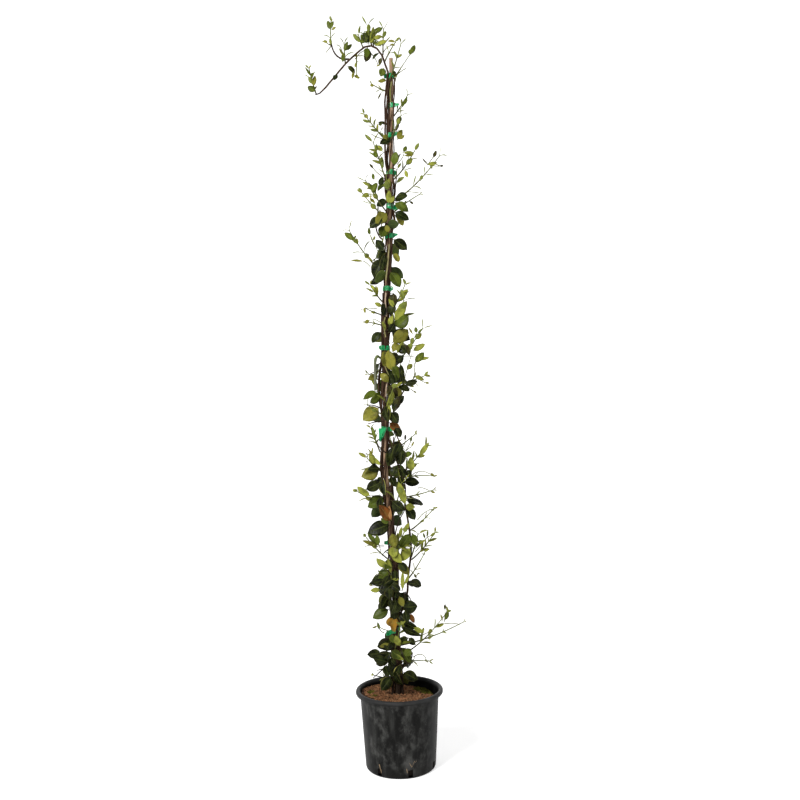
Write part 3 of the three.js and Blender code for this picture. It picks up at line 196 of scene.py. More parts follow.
stemRule = {"gap": 0.6, "step": 8, "hold": 9, "footTurn": 20, "footLift": 5, "endTurn": 30, "endLift": 6,
            "leastLift": 2.5, "liftRange": 5, "mostLift": 12, "deepestFoot": 60}
drawn = {  # what is drawn at random: the least value, and the span above it
    "roll": (0.7, 0.6), "wildPitch": (-60, 70), "wildSize": (0.75, 0.4), "wildRoll": (0.4, 1),
    "backAzimuth": (115, 130), "sideSpread": (34, 16), "endSpread": (30, 16), "youngSize": (0.85, 0.3),
}
shootRule = {"points": 12, "foot": 1.4, "tip": 0.75, "leastPairs": 3, "gap": 0.3}
seats = {  # how much nearer to its stem the foot of a shoot sits
    "shoot_09": 1.29, "shoot_12": 1.3, "shoot_19": 0.78, "shoot_30": 0.76, "shoot_34": 0.81, "shoot_35": 1.24,
}
beadRule = {
    "cell": 12, "spacing": 4, "clear": 0.8, "petiole": 2.2, "from": 0.15, "edge": 0.85,
    "mature": (2.4, 3.4, 3.2), "young": (2, 3, 2.8),  # radius, step along the blade and step across it
    "stemReach": 12, "shootReach": 8, "bladeReach": 5, "tie": 2.8, "tieLevels": (-4, 0, 4),
    "tailAsides": (-9, 0, 9), "tailDrops": (8, 18, 28),
}
tape = {"width": 12, "thickness": 0.8, "slack": 0.95, "steps": 10,
        "tailWidth": 22, "tailPlace": 7, "tailLean": 4}


def eased(rows, height, column):
    if height <= rows[0][0]:
        return rows[0][column]
    if height >= rows[-1][0]:
        return rows[-1][column]
    i = next(k for k, row in enumerate(rows) if row[0] > height) - 1
    t = (height - rows[i][0]) / (rows[i + 1][0] - rows[i][0])
    return rows[i][column] + (rows[i + 1][column] - rows[i][column]) * t * t * (3 - 2 * t)


def caneAt(height):
    return (eased(caneAxis, height, 1), eased(caneAxis, height, 2), height)


def caneRadiusAt(height):
    share = (height - cane["foot"]) / (cane["top"] - cane["foot"])
    return cane["footRadius"] + (cane["topRadius"] - cane["footRadius"]) * share


def routeOf(stem):  # rows of height, azimuth and lift off the cane
    def turned(tie):
        return stem["phase"] + max(0, tie[1] - stem.get("unturned", 0))
    sway = stem.get("sway")
    swayFoot = ties[0][0] if sway else stem["top"]
    swayTop = ties[2][0] if sway else stem["top"]
    footRow = (turned(ties[0]) - stemRule["footTurn"], stemRule["footLift"])
    rows = [(stem["foot"], *footRow), (pot["height"] + 5, *footRow)]
    below = None
    for tie in ties:
        if tie[0] > stem["top"] or swayFoot < tie[0] < swayTop:
            continue
        lift = stemRule["leastLift"] + stemRule["liftRange"] * drawNumber()
        if below and below[0] == swayFoot and sway:
            rows += sway
        elif below:
            rows.append(((below[0] + tie[0]) / 2, (turned(below) + turned(tie)) / 2, lift))
        rows += [(tie[0] - stemRule["hold"], turned(tie), 0), (tie[0] + stemRule["hold"], turned(tie), 0)]
        below = tie
    if below[0] + stemRule["hold"] < stem["top"]:
        rows.append((stem["top"], turned(below) + stemRule["endTurn"], stemRule["endLift"]))
    return rows


def stemRadiusAt(stem, height):
    rise, span = height - stem["foot"], stem["top"] - stem["foot"]
    return stem["thick"] + (stem["thin"] - stem["thick"]) * rise / span


def stemAt(stem, height):
    reach = caneRadiusAt(height) + stemRadiusAt(stem, height) + stemRule["gap"]
    reach += eased(stem["route"], height, 2)
    return plus(caneAt(height), outward(eased(stem["route"], height, 1)), reach)


def lineOf(points, radii):
    lengths = [0.0]
    for a, b in zip(points, points[1:]):
        lengths.append(lengths[-1] + apart(a, b))
    return {"points": points, "radii": radii, "lengths": lengths, "total": lengths[-1]}


def segmentOf(line, length):
    i = max(1, next((k for k, reached in enumerate(line["lengths"]) if reached >= length), -1))
    return i, (length - line["lengths"][i - 1]) / (line["lengths"][i] - line["lengths"][i - 1])


def pointAlong(line, length):
    i, share = segmentOf(line, min(length, line["total"]))
    return mixed(line["points"][i - 1], line["points"][i], share)


def radiusAlong(line, length):
    i, share = segmentOf(line, min(length, line["total"]))
    return line["radii"][i - 1] + (line["radii"][i] - line["radii"][i - 1]) * share


def directionAlong(line, length):
    return unit(minus(pointAlong(line, length + 3), pointAlong(line, length - 3)))


def growLine(stem):
    span = stem["top"] - stem["foot"]
    steps = ceil(span / stemRule["step"])
    heights = [stem["foot"] + span * k / steps for k in range(steps + 1)]
    points = [stemAt(stem, height) for height in heights]
    radii = [stemRadiusAt(stem, height) for height in heights]
    if stem.get("arched"):
        taper = archEndRadius - stem["thin"]
        points += arch
        radii += [stem["thin"] + taper * (i + 1) / len(arch) for i in range(len(arch))]
    stem["line"] = lineOf(points, radii)
    stem["archStart"] = stem["line"]["lengths"][steps]


def lengthAtHeight(stem, height):
    points, lengths = stem["line"]["points"], stem["line"]["lengths"]
    i = next((k for k, point in enumerate(points) if point[2] >= height), -1)
    if i < 1:
        return 0 if i == 0 else stem["line"]["total"]
    share = (height - points[i - 1][2]) / (points[i][2] - points[i - 1][2])
    return lengths[i - 1] + (lengths[i] - lengths[i - 1]) * share


def lengthOnArch(share):
    return stems[0]["archStart"] + (stems[0]["line"]["total"] - stems[0]["archStart"]) * share


def stemFor(height, direction):  # the stem that stands furthest out in this direction
    best, bestReach = None, -inf
    for stem in stems:
        if height > stem["top"] or height < stem["foot"] + stemRule["deepestFoot"]:
            continue
        if eased(stem["route"], height, 2) > stemRule["mostLift"]:
            continue
        reach = dot(minus(stemAt(stem, height), caneAt(height)), direction)
        if reach > bestReach:
            best, bestReach = stem, reach
    return best


# Clear space is kept with beads.

cells = {}


def addBead(centre, radius, owner, reach):
    key = tuple(floor(value / beadRule["cell"]) for value in centre)
    cells.setdefault(key, []).append((centre, radius, owner, reach))


def blocked(centre, radius, owner, foot):
    x, y, z = (floor(value / beadRule["cell"]) for value in centre)
    for i in (x - 1, x, x + 1):
        for j in (y - 1, y, y + 1):
            for k in (z - 1, z, z + 1):
                for other, size, itsOwner, reach in cells.get((i, j, k), ()):
                    if apart(other, centre) >= size + radius:
                        continue
                    if itsOwner == owner and apart(other, foot) < reach:
                        continue
                    return True
    return False


def beadLine(points, radii, owner, reach):
    for i in range(len(points) - 1):
        steps = max(1, ceil(apart(points[i], points[i + 1]) / beadRule["spacing"]))
        for k in range(steps):
            radius = radii[i] + (radii[i + 1] - radii[i]) * k / steps
            addBead(mixed(points[i], points[i + 1], k / steps), radius + beadRule["clear"], owner, reach)


def halfWidth(form, u):
    v = max(0.0, (u - leafRule["petiole"]) / (1 - leafRule["petiole"]))
    return form[0] * max(0.0, sin(pi * v ** 0.8)) ** 0.75


def bladePoint(leaf, u, v):  # a spot of the blade's middle layer
    _, archAngle, fold, twist, wave = leaf["form"]
    half = halfWidth(leaf["form"], u)
    bend = archAngle * u
    flat = v * half * cos(fold)
    high = abs(v) * half * sin(fold) + wave * sin(u * 2 * pi * 1.5) * v
    side = flat * cos(twist * u) - high * sin(twist * u)
    height = flat * sin(twist * u) + high * cos(twist * u)
    along = sin(bend) / archAngle + height * sin(bend)
    normal = (cos(bend) - 1) / archAngle + height * cos(bend)
    place = plus(leaf["foot"], leaf["axis"], along * leaf["length"])
    place = plus(place, cross(leaf["normal"], leaf["axis"]), side * leaf["length"])
    return plus(place, leaf["normal"], normal * leaf["length"])


def settle(leaf):  # takes the leaf's place with beads, where all of them find room
    radius, stepAlong, stepAcross = beadRule["mature" if leaf["mature"] else "young"]
    beads = [(bladePoint(leaf, u, 0), beadRule["petiole"]) for u in (0, leafRule["petiole"])]
    along = max(3, ceil(leaf["length"] / stepAlong))
    for i in range(along + 1):
        u = beadRule["from"] + (1 - beadRule["from"]) * i / along
        across = max(1, floor(halfWidth(leaf["form"], u) * 2 * leaf["length"] / stepAcross + 0.5))
        for k in range(across):
            v = 0 if across == 1 else 2 * k / (across - 1) - 1
            beads.append((bladePoint(leaf, u, v * beadRule["edge"]), radius))
    if any(blocked(centre, size, leaf["owner"], leaf["foot"]) for centre, size in beads):
        return False
    for centre, size in beads:
        addBead(centre, size, leaf["owner"], beadRule["bladeReach"])
    return True


def tieOutline(height, tab, distance, steps):
    axis = caneAt(height)
    rounds = [(0.0, 0.0, caneRadiusAt(height))]
    for stem in stems:
        if height <= stem["top"] and eased(stem["route"], height, 2) < 1:
            place = minus(stemAt(stem, height), axis)
            rounds.append((place[0], place[1], stemRadiusAt(stem, height)))
    outline = []
    for k in range(steps):
        direction = outward(tab + 180 / steps + 360 * k / steps)
        x, y, radius = max(rounds, key=lambda r: r[0] * direction[0] + r[1] * direction[1] + r[2])
        outline.append((x + direction[0] * (radius + distance), y + direction[1] * (radius + distance)))
    return outline


shoots = []


def shootCurve(shoot, angle):
    reach = minus(shoot["tip"], shoot["centre"])
    c, s = cos(radians(angle)), sin(radians(angle))
    reach = (reach[0] * c - reach[1] * s, reach[0] * s + reach[1] * c, reach[2])
    end = plus(shoot["centre"], reach)
    middle = plus(plus(plus(shoot["centre"], reach, 0.5), up, shoot["sag"]), right, shoot["bow"])
    leaving = unit(minus(middle, shoot["centre"]))
    aside = unit(plus(reach, shoot["along"], -dot(reach, shoot["along"])))
    lean = abs(dot(leaving, shoot["along"]))
    standOff = 0
    if shoot["own"]:
        standOff = shoot["stemRadius"] + shootRule["gap"] + shootRule["foot"] * lean
        standOff -= seats.get(shoot["owner"], 0)
    foot = plus(shoot["centre"], aside, standOff)
    for i in range(1, shootRule["points"] + 1):
        place = bezier(foot, middle, end, i / shootRule["points"])
        if blocked(place, shootRule["foot"] + beadRule["clear"], shoot["host"], shoot["centre"]):
            return None
    return foot, middle, end


def shootFrom(stem, at, tip, sag, pairs, leafLength, bow):
    own = pairs >= shootRule["leastPairs"]
    number = sum(shoot["own"] for shoot in shoots) + 1
    shoot = {
        "host": stem["name"], "owner": f"shoot_{number:02d}" if own else stem["name"], "own": own,
        "centre": pointAlong(stem["line"], at), "along": directionAlong(stem["line"], at),
        "stemRadius": radiusAlong(stem["line"], at), "tip": tip, "sag": sag, "pairs": pairs,
        "leafLength": leafLength, "bow": bow, "leaves": [],
    }
    for angle in (0, 8, -8, 16, -16, 26, -26, 38, -38, 52, -52):
        shoot["curve"] = shootCurve(shoot, angle)
        if shoot["curve"]:
            break
    if not shoot["curve"]:
        return
    count = shootRule["points"]
    points = [bezier(*shoot["curve"], i / count) for i in range(count + 1)]
    radii = [shootRule["foot"] + (shootRule["tip"] - shootRule["foot"]) * i / count for i in range(count + 1)]
    shoot["line"] = lineOf(points, radii)
    shoots.append(shoot)
    beadLine(points, radii, shoot["owner"], beadRule["shootReach"])


grownLeaves = []
leafTurns = [  # turns and tilts that are tried until a leaf finds room
    (0, 0), (12, 0), (-12, 0), (0, 15), (0, -15), (24, 8), (-24, 8), (24, -12), (-24, -12), (40, 0), (-40, 0),
    (40, 25), (-40, 25), (58, -10), (-58, -10), (75, 10), (-75, 10), (92, 0), (-92, 0),
]
youngTurns = [(0, 0), (18, 6), (-18, 6), (36, -6), (-36, -6), (55, 12), (-55, 12), (80, 0), (-80, 0)]


def footBeside(centre, along, radius, axis):
    aside = unit(plus(axis, along, -dot(axis, along)))
    return plus(centre, aside, radius + leafRule["standOff"])


def rolledNormal(axis, facing, roll):
    level = unit(plus(up, axis, -dot(up, axis)))
    side = cross(axis, level)
    if dot(side, facing) < 0:
        side = times(side, -1)
    return plus(times(level, cos(roll)), side, sin(roll))


def growMature(stem, at, azimuth, pitch, length, form, roll, row=None):
    centre, along = pointAlong(stem["line"], at), directionAlong(stem["line"], at)
    radius = radiusAlong(stem["line"], at)
    facing = outward(0 if abs(fmod(azimuth, 360)) < leafRule["front"] else 180)
    for turn, tip in leafTurns:
        steep = radians(max(-leafRule["steepest"], min(leafRule["steepest"], pitch + tip)))
        axis = plus(times(outward(azimuth + turn), cos(steep)), up, sin(steep))
        leaf = {
            "owner": stem["name"], "centre": centre, "foot": footBeside(centre, along, radius, axis),
            "axis": axis, "normal": rolledNormal(axis, facing, roll), "length": length,
            "form": matureForms[form], "mature": True, "row": row,
        }
        if settle(leaf):
            grownLeaves.append(leaf)
            return


def growWild(stem, height, azimuth, length):  # a mature leaf of random pitch, size, form and roll
    pitch = drawIn(*drawn["wildPitch"])
    length *= drawIn(*drawn["wildSize"])
    form = floor(drawNumber() * len(matureForms))
    roll = drawIn(*drawn["wildRoll"])
    growMature(stem, lengthAtHeight(stem, height), azimuth, pitch, length, form, roll)


def growYoung(shoot, t, around, spread, length, form):
    centre = bezier(*shoot["curve"], t)
    along = unit(minus(centre, bezier(*shoot["curve"], t - 0.05)))
    radius = radiusAlong(shoot["line"], shoot["line"]["total"] * t)
    level = unit(cross(along, up if abs(along[2]) < 0.95 else right))
    above = cross(level, along)
    for turn, opened in youngTurns:
        angle, wide = radians(around + turn), radians(spread + opened)
        across = plus(times(level, cos(angle)), above, sin(angle))
        axis = plus(times(along, cos(wide)), across, sin(wide))
        leaf = {
            "owner": shoot["owner"], "centre": centre, "foot": footBeside(centre, along, radius, axis),
            "axis": axis, "normal": plus(times(along, sin(wide)), across, -cos(wide)),
            "length": length, "form": form, "mature": False, "place": t,
        }
        if settle(leaf):
            shoot["leaves"].append(leaf)
            return


def growShootLeaves(shoot):
    startAngle = 90 * drawNumber()
    first = leafRule["bowedFirstPair" if shoot["bow"] else "firstPair"]
    for pair in range(shoot["pairs"]):
        last = pair == shoot["pairs"] - 1
        t = 1 if last else first + (leafRule["lastSidePair"] - first) * pair / max(1, shoot["pairs"] - 1)
        size = 0.75 if last else 1 - 0.25 * pair / shoot["pairs"]
        for side in range(2):
            around = drawIn(startAngle + 90 * pair + 180 * side - 15, 30)
            spread = drawIn(*drawn["endSpread" if last else "sideSpread"])
            length = shoot["leafLength"] * size * drawIn(*drawn["youngSize"])
            form = youngForms[floor(len(youngForms) * drawNumber())]
            growYoung(shoot, t, around, spread, length, form)


def keepCaneClear():
    heights = [cane["foot"], pot["height"]]
    for joint in caneJoints:
        heights += [joint, joint + cane["jointStep"] / 2]
    heights.append(cane["top"])
    swell = [0.25 if i > 1 and i % 2 == 0 and h < cane["top"] else 0 for i, h in enumerate(heights)]
    beadLine([caneAt(h) for h in heights], [caneRadiusAt(h) + s for h, s in zip(heights, swell)], "cane", 0)


def placeStub():
    host = stemFor(stub["height"], outward(-90))
    start = stemAt(host, stub["height"])
    x, y, _ = minus(stub["route"][0], start)
    foot = plus(start, unit((x, y, 0.0)), stemRadiusAt(host, stub["height"]) + stub["gap"])
    stub["points"] = [foot] + stub["route"]
    beadLine(stub["points"], stub["radii"], "stub", 0)


def keepTieClear(height, tab, reach, tilt, tail):
    axis, direction = caneAt(height), outward(tab)
    inner = tieOutline(height, tab, tape["slack"], tape["steps"])
    outer = tieOutline(height, tab, tape["slack"] + tape["thickness"], tape["steps"])
    root = ((outer[0][0] + outer[-1][0]) / 2, (outer[0][1] + outer[-1][1]) / 2)
    end = (root[0] + direction[0] * reach, root[1] + direction[1] * reach)
    between = [((a[0] + b[0]) / 2, (a[1] + b[1]) / 2) for a, b in zip(inner, inner[1:] + inner[:1])]
    tabSpots = [(root[0] + (end[0] - root[0]) * s, root[1] + (end[1] - root[1]) * s) for s in (0.35, 0.7)]
    for x, y in [*inner, *between, *tabSpots, end]:
        for level in beadRule["tieLevels"]:
            lifted = height + level + x * tan(radians(tilt))
            addBead((axis[0] + x, axis[1] + y, lifted), beadRule["tie"], "tie", 0)
    if not tail:
        return
    hangX, hangY = outer[tape["tailPlace"]]
    size = hypot(hangX, hangY)
    for aside in beadRule["tailAsides"]:
        x, y = axis[0] + hangX - hangY / size * aside, axis[1] + hangY + hangX / size * aside
        for drop in beadRule["tailDrops"]:
            addBead((x, y, height - drop), beadRule["tie"], "tie", 0)


def growPlan():  # in the same order as the CAD source, because each draw follows from the one before
    for stem in stems:
        stem["route"] = routeOf(stem)
        growLine(stem)
        beadLine(stem["line"]["points"], stem["line"]["radii"], stem["name"], beadRule["stemReach"])
    keepCaneClear()
    placeStub()
    for height, _, tab, reach, tilt, _, tail in ties:
        keepTieClear(height, tab, reach, tilt, tail)
    for height, x, y, z, sag, pairs, leafLength in sideShoots:
        axis = caneAt(height)
        stem = stems[2] if height in stemCShoots else stemFor(height, unit((x - axis[0], y - axis[1], 0.0)))
        shootFrom(stem, lengthAtHeight(stem, height), (x, y, z), sag, pairs, leafLength, 0)
    for share, x, y, z, sag, pairs, leafLength, bow in archShoots:
        shootFrom(stems[0], lengthOnArch(share), (x, y, z), sag, pairs, leafLength, bow)
    for share, azimuth, pitch, length, form in archLeaves:
        growMature(stems[0], lengthOnArch(share), azimuth, pitch, length, form, 0.5)
    partners = []
    for height, azimuth, pitch, length, form in matureLeaves:
        roll = drawIn(*drawn["roll"])
        stem = stems[2] if (height, azimuth) in stemCLeaves else stemFor(height, outward(azimuth))
        growMature(stem, lengthAtHeight(stem, height), azimuth, pitch, length, form, roll, (height, azimuth))
        partners.append((stem, height, azimuth + 180, length))
    for stem, height, azimuth, length in partners:
        wanted = drawNumber() < partnerShare
        azimuth = drawIn(azimuth - 25, 50)
        if wanted:
            growWild(stem, height, azimuth, length)
    for start, end, step, length in backLeafRanges:
        for height in range(start, end, step):
            azimuth = drawIn(*drawn["backAzimuth"])
            growWild(stemFor(height, outward(azimuth)), height, azimuth, length)
    for shoot in shoots:
        growShootLeaves(shoot)


growPlan()
youngLeaves = [leaf for shoot in shoots for leaf in shoot["leaves"]]
stemNames = [stem["name"] for stem in stems]
ownShoots = [shoot["owner"] for shoot in shoots if shoot["own"]]
print("plan:", len(grownLeaves), "mature leaves,", len(youngLeaves), "young leaves,", len(shoots), "shoots")

# Helpers for meshes, node trees and finished pieces.


def newObject(name, data):
    made = bpy.data.objects.new(name, data)
    bpy.context.scene.collection.objects.link(made)
    return made


def meshObject(name, points, faces, edges=()):  # points in millimetres
    mesh = bpy.data.meshes.new(name)
    mesh.from_pydata([times(point, mm) for point in points], edges, faces)
    return newObject(name, mesh)


def bakedMesh(piece):  # a plain mesh of what the modifiers make of it
    return bpy.data.meshes.new_from_object(piece.evaluated_get(bpy.context.evaluated_depsgraph_get()))


def addShape(points, faces, morePoints, moreFaces):
    faces += [[len(points) + corner for corner in face] for face in moreFaces]
    points += morePoints


def angles(sides):
    return [2 * pi * k / sides for k in range(sides)]


def onCircle(middle, radius, angle, height):
    return (middle[0] + radius * cos(angle), middle[1] + radius * sin(angle), height)


def tubeFaces(rings, sides, start=0):
    faces = []
    for i in range(rings - 1):
        for k in range(sides):
            a, b = start + i * sides + k, start + i * sides + (k + 1) % sides
            faces.append([a, b, b + sides, a + sides])
    return faces


def closedTubeFaces(rings, sides):
    last = (rings - 1) * sides
    return [list(range(sides))[::-1], list(range(last, last + sides)), *tubeFaces(rings, sides)]


def sheetFaces(rows, columns):  # a closed sheet: a grid of points, and the same again for its other skin
    faces, skin = [], rows * columns
    for i in range(rows - 1):
        for j in range(columns - 1):
            a, b = i * columns + j, (i + 1) * columns + j
            faces += [[a, b, b + 1, a + 1], [skin + a, skin + a + 1, skin + b + 1, skin + b]]
        for a in (i * columns, (i + 1) * columns - 1):
            faces.append([a, skin + a, skin + a + columns, a + columns])
    for j in range(columns - 1):
        for a in (j, (rows - 1) * columns + j):
            faces.append([a, a + 1, skin + a + 1, skin + a])
    return faces


def faceOutwards(piece, merge=True):
    work = bmesh.new()
    work.from_mesh(piece.data)
    if merge:
        bmesh.ops.remove_doubles(work, verts=work.verts, dist=0.00001)
    bmesh.ops.recalc_face_normals(work, faces=work.faces)
    work.to_mesh(piece.data)
    work.free()


def smoothUnder(piece, degrees):  # smooth shading, with edges sharper than this kept sharp
    work = bmesh.new()
    work.from_mesh(piece.data)
    for face in work.faces:
        face.smooth = True
    for edge in work.edges:
        edge.smooth = len(edge.link_faces) != 2 or edge.calc_face_angle(pi) < radians(degrees)
    work.to_mesh(piece.data)
    work.free()


def setValues(piece, name, values, kind="FLOAT"):  # an attribute with a value for each vertex
    attribute = piece.data.attributes.new(name, kind, "POINT")
    flat = np.array(values, np.float32).reshape(-1)
    attribute.data.foreach_set("value" if kind == "FLOAT" else "vector", flat)


def finishPiece(piece, material, nodes=()):
    piece.data.materials.clear()
    piece.data.materials.append(material)
    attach(piece, "root")
    if nodes:
        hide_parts(*nodes)
    return piece


def addNode(tree, kind, inputs=None, **settings):
    node = tree.nodes.new(kind)
    for key, value in settings.items():
        setattr(node, key, value)
    for key, value in (inputs or {}).items():
        if isinstance(value, Field):
            tree.links.new(value.socket, node.inputs[key])
        else:
            node.inputs[key].default_value = value
    return node


def valueOf(tree, kind, inputs=None, output=0, **settings):  # a new node's output
    return Field(tree, addNode(tree, kind, inputs, **settings).outputs[output])


def parts(tree, vector):  # its X, Y and Z
    split = addNode(tree, "ShaderNodeSeparateXYZ", {0: vector})
    return [Field(tree, output) for output in split.outputs]


class Field:  # a value inside a node tree: arithmetic with it adds Math nodes
    def __init__(self, tree, socket):
        self.tree = tree
        self.socket = socket

    def math(self, operation, *values):
        return valueOf(self.tree, "ShaderNodeMath", dict(enumerate(values)), operation=operation)

    def vector(self, operation, *values):
        inputs = dict(enumerate(values))
        if operation == "SCALE":
            inputs = {0: values[0], "Scale": values[1]}
        return valueOf(self.tree, "ShaderNodeVectorMath", inputs, operation=operation)

    def __add__(self, other):
        return self.math("ADD", self, other)

    def __sub__(self, other):
        return self.math("SUBTRACT", self, other)

    def __rsub__(self, other):
        return self.math("SUBTRACT", other, self)

    def __mul__(self, other):
        return self.math("MULTIPLY", self, other)

    def __truediv__(self, other):
        return self.math("DIVIDE", self, other)

    def __pow__(self, other):
        return self.math("POWER", self, other)

    def least(self, other):
        return self.math("MAXIMUM", self, other)

    def most(self, other):
        return self.math("MINIMUM", self, other)

    def sine(self):
        return self.math("SINE", self)

    def cosine(self):
        return self.math("COSINE", self)

    def size(self):
        return self.math("ABSOLUTE", self)

    def step(self, start, end, low=0.0, high=1.0):  # a smooth step from low to high
        inputs = {"Value": self, "From Min": start, "From Max": end, "To Min": low, "To Max": high}
        return valueOf(self.tree, "ShaderNodeMapRange", inputs, "Result", interpolation_type="SMOOTHSTEP")


def geometryTree(name, kinds):  # a Geometry Nodes tree, and its named inputs
    tree = bpy.data.node_groups.new(name, "GeometryNodeTree")
    for label, kind in {"Geometry": "Geometry", **kinds}.items():
        tree.interface.new_socket(label, in_out="INPUT", socket_type="NodeSocket" + kind)
    tree.interface.new_socket("Geometry", in_out="OUTPUT", socket_type="NodeSocketGeometry")
    outputs = tree.nodes.new("NodeGroupInput").outputs
    return tree, {label: Field(tree, outputs[label]) for label in ("Geometry", *kinds)}


def closeTree(tree, geometry, material):  # the tree's end: copies made real, and their material
    real = valueOf(tree, "GeometryNodeRealizeInstances", {"Geometry": geometry})
    done = valueOf(tree, "GeometryNodeSetMaterial", {"Geometry": real, "Material": material})
    addNode(tree, "NodeGroupOutput", {"Geometry": done})
    return tree


def named(tree, name, kind="FLOAT"):
    return valueOf(tree, "GeometryNodeInputNamedAttribute", {"Name": name}, "Attribute", data_type=kind)


def grown(name, source, tree, inputs):  # runs a tree on an object and keeps the result as a plain mesh
    modifier = source.modifiers.new("Grow", "NODES")
    modifier.node_group = tree
    for item in tree.interface.items_tree:
        if item.in_out == "INPUT" and item.name in inputs:
            modifier[item.identifier] = inputs[item.name]
    mesh = bakedMesh(source)
    mesh.name = name
    source.modifiers.remove(modifier)
    bpy.data.objects.remove(source)
    return newObject(name, mesh)


# Materials.


def linear(red, green, blue):  # from the usual 0 to 255
    def one(value):
        value /= 255
        return value / 12.92 if value <= 0.04045 else ((value + 0.055) / 1.055) ** 2.4
    return (one(red), one(green), one(blue), 1.0)


def newMaterial(name, settings):  # settings by their names in the shader; gives the place on the object too
    material = bpy.data.materials.new(name)
    material.use_nodes = True
    tree = material.node_tree
    for key, value in settings.items():
        tree.nodes["Principled BSDF"].inputs[key].default_value = value
    return material, tree, valueOf(tree, "ShaderNodeTexCoord", output="Object")


def dressed(material, colour, relief, distance, strength, roughness=None):  # joins all to the shader
    tree = material.node_tree
    normal = valueOf(tree, "ShaderNodeBump", {"Height": relief, "Distance": distance, "Strength": strength})
    for key, value in {"Base Color": colour, "Normal": normal, "Roughness": roughness}.items():
        if value is not None:
            tree.links.new(value.socket, tree.nodes["Principled BSDF"].inputs[key])
    return material


def noiseOf(tree, place, scale, stretch=(1, 1, 1), detail=4.0, roughness=0.55, offset=(0, 0, 0)):
    mapping = valueOf(tree, "ShaderNodeMapping", {"Vector": place, "Scale": stretch, "Location": offset})
    inputs = {"Vector": mapping, "Scale": scale, "Detail": detail, "Roughness": roughness}
    return valueOf(tree, "ShaderNodeTexNoise", inputs, "Fac")


def blended(tree, share, low, high):  # each colour is an output, or red, green and blue
    low, high = (linear(*colour) if isinstance(colour, tuple) else colour for colour in (low, high))
    return valueOf(tree, "ShaderNodeMix", {0: share, 6: low, 7: high}, 2, data_type="RGBA")


def layered(tree, colour, layers):  # lays colours over the first one, each by its own share
    for share, over in layers:
        colour = blended(tree, share, colour, over)
    return colour


def shaderValue(tree, name, output="Fac"):
    return valueOf(tree, "ShaderNodeAttribute", None, output, attribute_name=name)


def potMaterial():
    material, tree, place = newMaterial("PotPlastic", {"Specular IOR Level": 0.06})
    streaks = noiseOf(tree, place, 55, (1, 1, 0.16), detail=5)
    clouds = noiseOf(tree, place, 30, (1, 1, 0.7), detail=7, roughness=0.66)
    specks = noiseOf(tree, place, 420, detail=2)
    x, y, height = parts(tree, place)
    radial = (x * x + y * y) ** 0.5
    onWall = height.step(0.186, 0.18)
    # the pale layer of clouds and streaks is stronger on the front-left side, weaker on the rim, and fades
    # towards the bottom
    side = (x * -0.7 - y * 0.7).step(-0.02, 0.09)
    dust = clouds.step(0.44, 0.7) * 0.7 + streaks.step(0.42, 0.75) * 0.3
    dust = dust * (onWall * 0.8 + 0.2) * height.step(0.0, 0.05, 0.55, 1.0) * (side * 0.45 + 0.6)
    # painted shade: the pot's inside, below the rim, is painted near black
    inside = (radial - height * 0.0611 - 0.087).step(0.0006, -0.0006) * height.step(0.188, 0.184)
    colour = layered(tree, (13, 13, 12), [
        (dust, (76, 76, 74)),
        (specks.step(0.66, 0.74) * 0.3 * onWall, (92, 91, 87)),
        # painted sheen: the rim band is painted a lighter grey, in cloudy patches
        (height.step(0.184, 0.192) * (clouds * 0.8 + 0.2), (58, 58, 58)),
        # painted shade inside the pot
        (inside * 0.85, (6, 6, 6)),
    ])
    return dressed(material, colour, streaks * 0.4 + specks * 0.6, 0.0006, 0.35, dust * 0.3 + 0.44)


def coirMaterial(name, dark, light):
    material, tree, place = newMaterial(name, {"Roughness": 0.92, "Specular IOR Level": 0.1})
    grain = noiseOf(tree, place, 260, detail=6)
    share = (grain.step(0.3, 0.7) * 0.5 + shaderValue(tree, "tint") * 0.6).least(0).most(1)
    return dressed(material, blended(tree, share, dark, light), grain, 0.002, 0.8)


def bambooMaterial():
    material, tree, place = newMaterial("Bamboo", {"Roughness": 0.6, "Specular IOR Level": 0.12})
    streaks = noiseOf(tree, place, 420, (1, 1, 0.03), detail=5)
    patches = noiseOf(tree, place, 14, (1, 1, 0.6), detail=6)
    colour = layered(tree, (168, 140, 114), [
        (patches.step(0.36, 0.66), (100, 74, 54)),
        (streaks.step(0.48, 0.72) * 0.7, (66, 46, 32)),
        # dark rings at the joints, and painted shade down the hollow top of the cane
        (shaderValue(tree, "ring"), (62, 44, 32)),
        # painted shade: the cane is painted near black-brown close to the soil
        (parts(tree, place)[2].step(0.34, 0.24) * 0.95, (30, 22, 16)),
    ])
    return dressed(material, colour, streaks, 0.0004, 0.4)


def tapeMaterial():
    settings = {"Roughness": 0.28, "Specular IOR Level": 0.45, "Transmission Weight": 0.3}
    material, tree, place = newMaterial("TieTape", settings)
    creasesAndHighlights = noiseOf(tree, place, 170, (1, 1, 0.6), detail=3)
    # painted highlight: the lighter green on the creases; the creases also make the bump
    colour = blended(tree, creasesAndHighlights.step(0.35, 0.7), (0, 116, 60), (34, 178, 104))
    return dressed(material, colour, creasesAndHighlights, 0.0015, 0.5)


leafLooks = {
    "MatureLeaf": {
        "roughness": 0.3, "mottle": 90, "veins": 8, "veinShare": 0.3, "shadow": 42, "shadowShare": 0.5,
        "relief": 0.0012, "pale": (104, 114, 52), "deep": (7, 10, 3), "stalk": (78, 74, 42),
        "under": (66, 80, 42),
    },
    "YoungLeaf": {
        "roughness": 0.4, "mottle": 130, "veins": 7, "veinShare": 0.22, "shadow": 60, "shadowShare": 0.4,
        "relief": 0.0006, "pale": (152, 160, 68), "deep": (26, 30, 8), "stalk": (118, 122, 62),
        "under": (104, 120, 60),
    },
}


